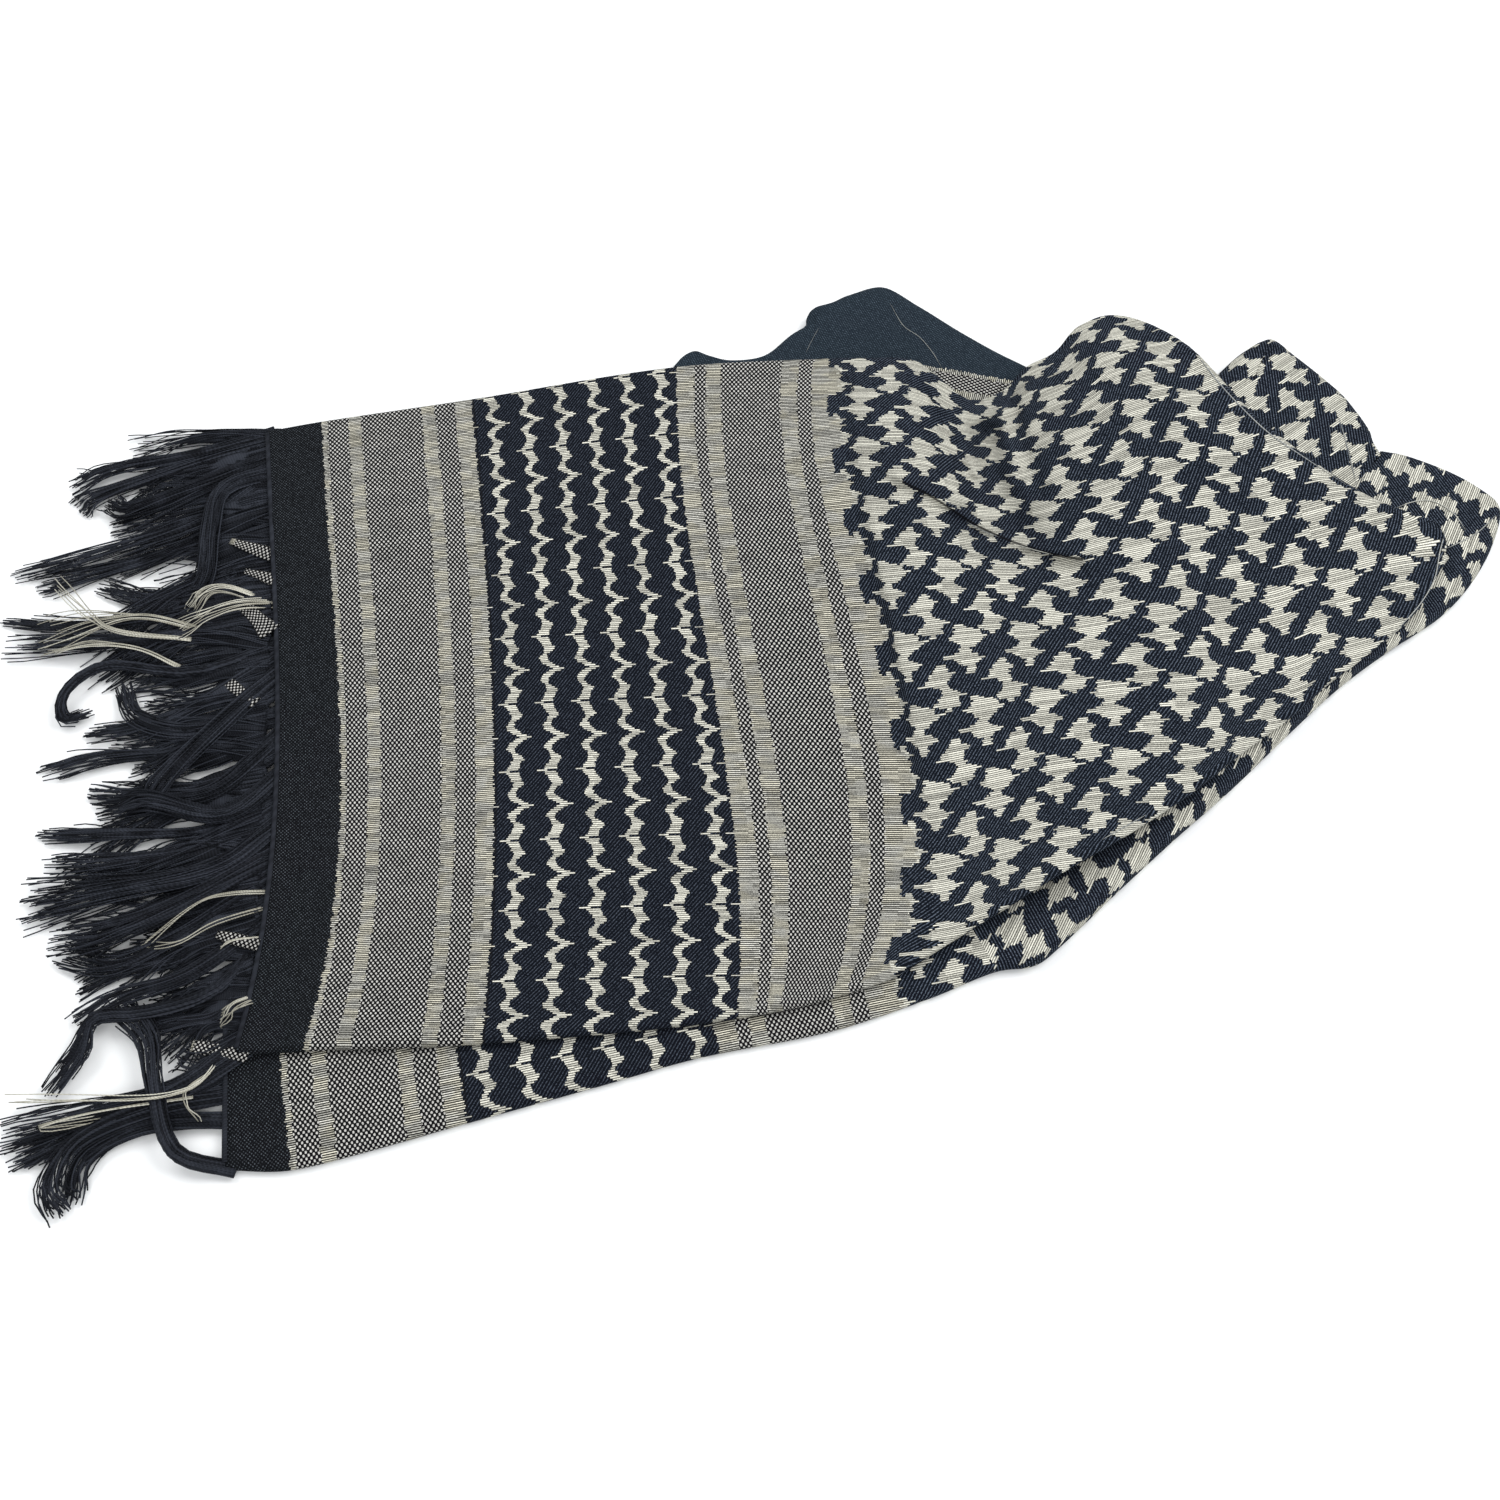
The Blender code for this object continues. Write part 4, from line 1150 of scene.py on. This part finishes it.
class Finish:
    """One material while its nodes are added."""

    def __init__(self, name, roughness, specular):
        self.material = bpy.data.materials.new(name)
        self.material.use_nodes = True
        self.nodes = self.material.node_tree.nodes
        self.links = self.material.node_tree.links
        self.shader = self.nodes["Principled BSDF"]
        self.shader.inputs["Roughness"].default_value = roughness
        self.shader.inputs["Specular IOR Level"].default_value = specular

    def node(self, kind, settings, sockets):
        """A node of one type, with its settings and the values or links of its sockets."""
        made = self.nodes.new(kind)
        for name, value in settings.items():
            setattr(made, name, value)
        for key, value in sockets.items():
            self.feed(made.inputs[key], value)
        return made

    def feed(self, socket, value):
        if isinstance(value, Amount):
            self.links.new(value.socket, socket)
        elif isinstance(value, bpy.types.NodeSocket):
            self.links.new(value, socket)
        else:
            socket.default_value = value

    def maths(self, operation, *values):
        made = self.node("ShaderNodeMath", {"operation": operation}, dict(enumerate(values)))
        return Amount(self, made.outputs[0])

    def blend(self, factor, first, second):
        """A colour between two, as a share of the second."""
        colours = {0: factor}
        for key, colour in ((6, first), (7, second)):
            colours[key] = colour + (1.0,) if isinstance(colour, tuple) else colour
        return self.node("ShaderNodeMix", {"data_type": "RGBA"}, colours).outputs[2]

    def scaled(self, colour, amount):
        """A colour made lighter or darker by an amount."""
        first = colour + (1.0,) if isinstance(colour, tuple) else colour
        grey = self.node("ShaderNodeCombineXYZ", {}, {0: amount, 1: amount, 2: amount})
        made = self.node(
            "ShaderNodeMix",
            {"data_type": "RGBA", "blend_type": "MULTIPLY"},
            {0: 1.0, 6: first, 7: grey.outputs[0]},
        )
        return made.outputs[2]

    def cloth_place(self):
        """Distance from the hem in mm, and pattern row, of a spot on the cloth."""
        place = self.node("ShaderNodeUVMap", {"uv_map": "weave"}, {})
        parts = self.node("ShaderNodeSeparateXYZ", {}, {0: place.outputs[0]})
        return Amount(self, parts.outputs[0]), Amount(self, parts.outputs[1])

    def chances(self, x, y):
        """Three numbers between 0 and 1 that are set by a pair of whole numbers."""
        place = self.node("ShaderNodeCombineXYZ", {}, {0: x, 1: y})
        noise = self.node(
            "ShaderNodeTexWhiteNoise", {"noise_dimensions": "2D"}, {"Vector": place.outputs[0]}
        )
        parts = self.node("ShaderNodeSeparateColor", {}, {0: noise.outputs["Color"]})
        return [Amount(self, parts.outputs[i]) for i in range(3)]

    def mottle(self, x, y, scale, detail):
        """Soft uneven patches over two measures."""
        place = self.node("ShaderNodeCombineXYZ", {}, {0: x, 1: y})
        noise = self.node(
            "ShaderNodeTexNoise",
            {"noise_dimensions": "2D"},
            {"Vector": place.outputs[0], "Scale": scale, "Detail": detail},
        )
        return Amount(self, noise.outputs[0])

    def chart(self, thread, first, last, rows):
        """Two reaches read off a chart at one thread, each in mm."""
        share = (thread - first) / (last - first)
        ramp = self.node("ShaderNodeValToRGB", {}, {0: share})
        stops = ramp.color_ramp.elements
        while len(stops) < len(rows):
            stops.new(0.5)
        for stop, row in zip(stops, rows):
            reaches = [reach / CHART_SPAN for reach in row[1:]] + [0.0]
            stop.position = min(max((row[0] - first) / (last - first), 0.0), 1.0)
            stop.color = (reaches[0], reaches[1], 0.0, 1.0)
        parts = self.node("ShaderNodeSeparateColor", {}, {0: ramp.outputs[0]})
        return [Amount(self, parts.outputs[i]) * CHART_SPAN for i in range(2)]

    def near_line(self, cloth, row_mm, line):
        """1 on a line drawn on the cloth, 0 past its half width."""
        (cloth_0, row_0), (cloth_1, row_1), half_width = line
        start = Vector((cloth_0, row_0 * ROW_LENGTH))
        way = Vector((cloth_1, row_1 * ROW_LENGTH)) - start
        length = way.length
        way.normalize()
        along = (cloth - start.x) * way.x + (row_mm - start.y) * way.y
        aside = abs((row_mm - start.y) * way.x - (cloth - start.x) * way.y)
        return (1 - aside.rise(half_width * LINE_CORE, half_width)) * along.within(0.0, length)

    def done(self, colour, roughness, height, relief):
        """The finished material, with its colour, roughness and relief in metres."""
        self.feed(self.shader.inputs["Base Color"], colour)
        self.feed(self.shader.inputs["Roughness"], roughness)
        bump = self.node("ShaderNodeBump", {}, {"Height": height, "Distance": relief})
        self.links.new(bump.outputs[0], self.shader.inputs["Normal"])
        return self.material


def motif(finish, cloth, thread, shift_cloth, shift_thread, rows, ends):
    """1 on the floats of one motif of the field, 0 off them."""
    left_end, right_end = ends
    along = (cloth - (MOTIF_FIRST + shift_cloth)) / MOTIF_PITCH + 0.5
    away = (along.fraction() - 0.5) * MOTIF_PITCH
    place = ((thread - (MOTIF_THREAD + shift_thread)) / THREADS + 0.5).fraction() * THREADS
    count = (place - THREADS / 2).rounded()
    padded = [(row[0], row[1] - NO_REACH, row[2] - NO_REACH) for row in rows]
    padded = [(rows[0][0] - 1, 0.0, 0.0)] + padded + [(rows[-1][0] + 1, 0.0, 0.0)]
    half = THREADS / 2
    left, right = finish.chart(count, -half, half, padded)
    left = left + NO_REACH + left_end
    right = right + NO_REACH + right_end
    return (away > left * -1) * (away < right)


def stripes(stepped, bands):
    """1 inside the bands, 0 between them."""
    return sum((stepped.within(low, high) for low, high in bands[1:]), stepped.within(*bands[0]))


def woven_parts(finish, cloth, thread, stepped, ends):
    """Where the cream floats, the solid stripes and the checked bands are."""
    check = stripes(stepped, CHECK_BANDS)
    tan = stripes(stepped, TAN_LINES)
    half = THREADS / 2
    from_spike = abs((((thread + half) / THREADS).fraction() * THREADS - half).rounded())
    spike = cloth.within(SCALLOP_START, SCALLOP_START + RIGHT_SPIKE)
    tan = tan + (from_spike < 0.5) * spike
    spike = cloth.within(SCALLOP_END - LEFT_SPIKE, SCALLOP_END + SPIKE_OVERLAP)
    tan = tan + (from_spike > half - 0.5) * spike

    shifted = (cloth - (SCALLOP_START + SCALLOP_LEAD)) / SCALLOP_PITCH
    column = shifted.fraction() * SCALLOP_PITCH + SCALLOP_LEAD
    low, high = finish.chart(from_spike, 0.0, half, SCALLOP)
    start = low + ends[0] * SCALLOP_WANDER + SCALLOP_THINNER[0]
    end = high + ends[1] * SCALLOP_WANDER - SCALLOP_THINNER[1]
    scallop = (column > start) * (column < end) * cloth.within(SCALLOP_START, SCALLOP_END)

    notch = ((thread - MOTIF_THREAD) / THREADS + 0.5).fraction() * THREADS - half
    reach, _ = finish.chart(notch.rounded(), -half, half, [(k, r, r) for k, r in RAGGED])
    ragged = (stepped > RAGGED_START) * (cloth < reach + RAGGED_START + ends[0])

    big = motif(finish, cloth, thread, 0.0, 0, BIG_MOTIF, ends)
    small = motif(finish, cloth, thread, MOTIF_PITCH / 2, SMALL_SHIFT, SMALL_MOTIF, ends)
    floats = (big.most(small) * (cloth > FIELD_START)).most(scallop)
    return floats, tan.most(ragged).least(1.0), check


def ground_weave(finish, cloth, row_mm, fine, borders):
    """The dark ground: a plain weave in the border, a diagonal twill past it. Past the scallops the
    twill's lines are painted lighter, as painted light and sheen.
    """
    twill = cloth + row_mm * TWILL_LEAN + (fine - 0.5) * TWILL_WANDER
    twill = (twill * (2 * math.pi / TWILL_PITCH)).sine()
    speck = finish.mottle(cloth, row_mm, SPECK_SCALE, WEAVE_DETAIL)
    line = twill.rise(*TWILL_LINE) * speck.rise(*TWILL_SPECK)
    ground = finish.blend(line, GROUND, GROUND_LINE)
    # Painted light and sheen: a lighter copy of the twill for the field
    field = finish.blend(line, LIT_FIELD_GROUND, LIT_FIELD_LINE)
    ground = finish.blend(cloth.rise(*FIELD_PAINTED_LIGHT), ground, field)
    grid = (cloth * (2 * math.pi / PLAIN_PITCH[0])).sine()
    grid = grid * (row_mm * (2 * math.pi / PLAIN_PITCH[1])).sine()
    plain = finish.blend(grid.rise(*PLAIN_LINE) * speck.rise(*PLAIN_SPECK), *borders)
    return finish.blend(cloth > BORDER_END, plain, ground), twill


def make_patterned_cloth(name, *borders):
    """The weave: plain border, striped and checked bands, scallops, and the field of motifs."""
    finish = Finish(name, CLOTH_ROUGHNESS, CLOTH_SPECULAR)
    cloth, row = finish.cloth_place()
    count = row * THREADS
    thread = count.rounded()
    in_thread = abs(count - thread) * 2
    row_mm = row * ROW_LENGTH
    left, right, tone = finish.chances(thread, (cloth / (MOTIF_PITCH / 2)).floor())
    line_tone, line_shift, _ = finish.chances(thread, (cloth / STRIPE_CELL).floor() + STRIPE_SALT)
    patches = finish.mottle(cloth * 0.5, row_mm, PATCH_SCALE, WEAVE_DETAIL)
    fine = finish.mottle(cloth, row_mm, FINE_SCALE, WEAVE_DETAIL)
    ends = ((left - 0.5) * FLOAT_WANDER, (right - 0.5) * FLOAT_WANDER)
    stepped = cloth + (line_shift - 0.5) * STRIPE_WANDER
    floats, tan, check = woven_parts(finish, cloth, thread, stepped, ends)

    # Shade from thread to thread and along each, with a dark gap between one and the next
    base_tone, own_tone, fine_tone = FLOAT_TONE
    profile = 1 - in_thread.rise(*THREAD_GAP) * THREAD_GAP_DARK
    cream_tone = (base_tone + tone * own_tone + (fine - 0.5) * fine_tone) * profile
    cream = finish.scaled(CREAM_YARN, cream_tone)
    base_tone, own_tone, patch_tone, fine_tone = BAND_TONE
    band_tone = base_tone + line_tone * own_tone + (patches - 0.5) * patch_tone
    band_tone = band_tone + (fine - 0.5) * fine_tone
    band_tone = band_tone * (1 - in_thread.rise(*BAND_GAP) * BAND_GAP_DARK)
    band_hue = finish.blend(patches.rise(*BAND_PATCH), BAND_GREY, TAN_YARN)
    band = finish.scaled(band_hue, band_tone)

    # Dark dots in every second gap make the check
    across, down = CHECK_PITCH
    dots = ((cloth + (fine - 0.5) * CHECK_WOBBLE) * (2 * math.pi / across)).cosine()
    dark_dot = (dots * (row_mm * (2 * math.pi / down)).cosine()).rise(*CHECK_DOT)
    base_tone, patch_tone, fine_tone = CHECK_TONE
    check_tone = base_tone + (fine - 0.5) * fine_tone + (patches - 0.5) * patch_tone
    check_colour = finish.blend(dark_dot, finish.scaled(PALE_GREY_YARN, check_tone), GAP_AND_SHADOW)

    ground, twill = ground_weave(finish, cloth, row_mm, fine, borders)
    colour = finish.blend(floats, ground, cream)
    colour = finish.blend(check.least(1.0), colour, check_colour)
    colour = finish.blend(tan, colour, band)
    groove = cloth.within(SCALLOP_START + GROOVE[0], SCALLOP_START + GROOVE[1]) * (1 - tan)
    colour = finish.blend(groove * GROOVE_DARK, colour, GAP_AND_SHADOW)
    # Painted shadow: a dark line along the pleat, where the overlapping fold shades the cloth
    colour = finish.blend(finish.near_line(cloth, row_mm, PLEAT_SHADOW_LINE) * PLEAT_SHADOW_DARK, colour, GAP_AND_SHADOW)

    least, more, check_share, twill_share, fine_share = RELIEF_SHARES
    relief = floats.most(tan) * (profile * more + least) + (1 - dark_dot) * check * check_share
    relief = relief + twill * twill_share + fine * fine_share
    roughness = CLOTH_ROUGHNESS - floats * CLOTH_WEAR + (fine - 0.5) * CLOTH_WEAR
    return finish.done(colour, roughness, relief, CLOTH_RELIEF)


def make_fringe_yarn(name, dark, pale_and_shine):
    """Loose twisted yarn, from a dark to a pale colour by each yarn's own tone, soft patches and its
    ply; on the dark fringe the pale end is partly painted shine.
    """
    finish = Finish(name, YARN_ROUGHNESS, YARN_SPECULAR)
    share, around = finish.cloth_place()
    place = finish.node("ShaderNodeTexCoord", {}, {})
    parts = finish.node("ShaderNodeSeparateXYZ", {}, {0: place.outputs["Object"]})
    x, y = Amount(finish, parts.outputs[0]), Amount(finish, parts.outputs[1])
    number = (share / YARN_STRIDE + YARN_NUDGE).floor()
    own, _, _ = finish.chances(number, YARN_SALT)
    ply = ((share * PLY_TURNS + around * 2) * 2 * math.pi).sine() * 0.5 + 0.5
    patches = finish.mottle(x, y, YARN_PATCH_SCALE, WEAVE_DETAIL)
    own_shine, patch_shine, ply_shine = YARN_SHINE
    amount = own.rise(*YARN_OWN) * own_shine + patches.rise(*YARN_PATCH) * patch_shine
    amount = amount + ply * ply_shine
    colour = finish.blend(amount, dark, pale_and_shine)
    roughness = YARN_ROUGHNESS + (patches - 0.5) * YARN_WEAR
    return finish.done(colour, roughness, ply, YARN_RELIEF)


def make_floor():
    mesh = bmesh.new()
    bmesh.ops.create_grid(mesh, x_segments=1, y_segments=1, size=FLOOR_SIZE)
    data = mesh_data("floor", mesh)
    finish = Finish("pale_floor", FLOOR_ROUGHNESS, FLOOR_SPECULAR)
    finish.shader.inputs["Base Color"].default_value = FLOOR + (1.0,)
    data.materials.append(finish.material)
    placed("floor", data)


def make_camera():
    data = bpy.data.cameras.new("camera")
    data.lens = LENS
    data.sensor_width = data.sensor_height = FILM
    camera = placed("camera", data)
    camera.location = EYE
    camera.rotation_euler = (-ORIGIN - EYE).to_track_quat("-Z", "Y").to_euler()
    bpy.context.scene.camera = camera


def make_lights():
    for number, (x, y, z, size, power) in enumerate(LAMPS):
        data = bpy.data.lights.new(f"softbox_{number}", "AREA")
        data.shape = "DISK"
        data.size = size
        data.energy = power
        lamp = placed(f"softbox_{number}", data)
        lamp.location = (x, y, z)
        lamp.rotation_euler = (-Vector((x, y, z))).to_track_quat("-Z", "Y").to_euler()
    world = bpy.data.worlds.new("sky")
    world.use_nodes = True
    background = world.node_tree.nodes["Background"]
    background.inputs[0].default_value = SKY + (1.0,)
    background.inputs[1].default_value = SKY_STRENGTH
    bpy.context.scene.world = world
    bpy.context.scene.view_settings.view_transform = "Standard"


def main():
    make_camera()
    make_lights()
    make_floor()
    cloth = make_patterned_cloth("patterned_cloth", BORDER, BORDER_LINE)
    # A painted-light copy of the cloth for the back sheet, its plain border lighter and bluer
    border = make_patterned_cloth("plain_border", LIT_BACK_BORDER, LIT_BACK_LINE)
    dark_yarn = make_fringe_yarn("fringe_yarn", FRINGE, FRINGE_SHINE)
    pale_yarn = make_fringe_yarn("cream_yarn", OLD_YARN, CREAM_YARN)

    top = make_top_sheet(cloth)
    lower = make_strip_sheet(
        "lower_sheet", LOWER_SECTIONS, ((0, LOWER_WEAVE), (LOWER_TWIST, TWIST_WEAVE)), cloth
    )
    far_fold = make_strip_sheet("far_fold_sheet", FAR_FOLD_SECTIONS, ((0, FAR_FOLD_WEAVE),), cloth)
    back = make_strip_sheet(
        "back_sheet",
        BACK_SECTIONS,
        ((0, BACK_PLAIN_WEAVE), (BACK_CHECK_FROM, BACK_WEAVE)),
        border,
    )
    inner = make_inner_layers(cloth)

    for piece, node in (
        (top, "top_panel"),
        (lower, "lower_panel"),
        (far_fold, "far_fold"),
        (back, "back_border"),
        (inner, "hidden_layers"),
    ):
        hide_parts(node)
        give_wall(piece, CLOTH_WALL)

    chance = random.Random(SEED)
    roll = FOLD_STEPS + LIP_STEPS
    upper_hem = top_section_places(0.0)[0][roll:-roll]
    lower_hem = strip_section(fine_rows(LOWER_SECTIONS, STRIP_PARTS), 0)[0][: STRIP_STEPS + 1]
    fillers = filler_locks(*FILLER_LINE, FILLER_LOCKS, chance)
    full = (YARNS_PER_LOCK, STRAYS_PER_LOCK, YARN_RADIUS)
    few = (FILLER_YARNS, FILLER_STRAYS, YARN_RADIUS)
    bundles = (
        ("upper_yarns", [(lock, full) for lock in UPPER_LOCKS], UPPER_HEM_HEIGHT, upper_hem),
        ("low_yarns", [(lock, few) for lock in fillers], UPPER_HEM_HEIGHT, None),
        ("lower_yarns", [(lock, full) for lock in LOWER_LOCKS], LOWER_HEM_HEIGHT, lower_hem),
    )
    upper, low, below = (
        make_locks(name, locks, height, hem, chance, dark_yarn)
        for name, locks, height, hem in bundles
    )
    creams = [(row[:4], (row[4], 0, CREAM_RADIUS)) for row in CREAM_LOCKS]
    cream = make_locks("cream_yarns", creams, UPPER_HEM_HEIGHT, None, chance, pale_yarn)
    scraps = [make_scrap(number, cloth) for number in range(len(HEM_SCRAPS))]
    for scrap in scraps:
        give_wall(scrap, CLOTH_WALL)
    # Painted highlights: pale threads laid along the creases and fold edges
    crease_highlight_yarn = make_fringe_yarn("crease_highlight_yarn", HIGHLIGHT_THREAD_DARK, HIGHLIGHT_THREAD_PALE)
    creases = make_crease_highlights((top, lower, far_fold, back), crease_highlight_yarn)
    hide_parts("upper_fringe")
    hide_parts("lower_fringe")

    for scrap, (x, y, end_x, end_y, width, _) in zip(scraps, HEM_SCRAPS):
        length = math.hypot(end_x - x, end_y - y) * MM
        across = max(width, SCRAP_LEAST) * MM


main()
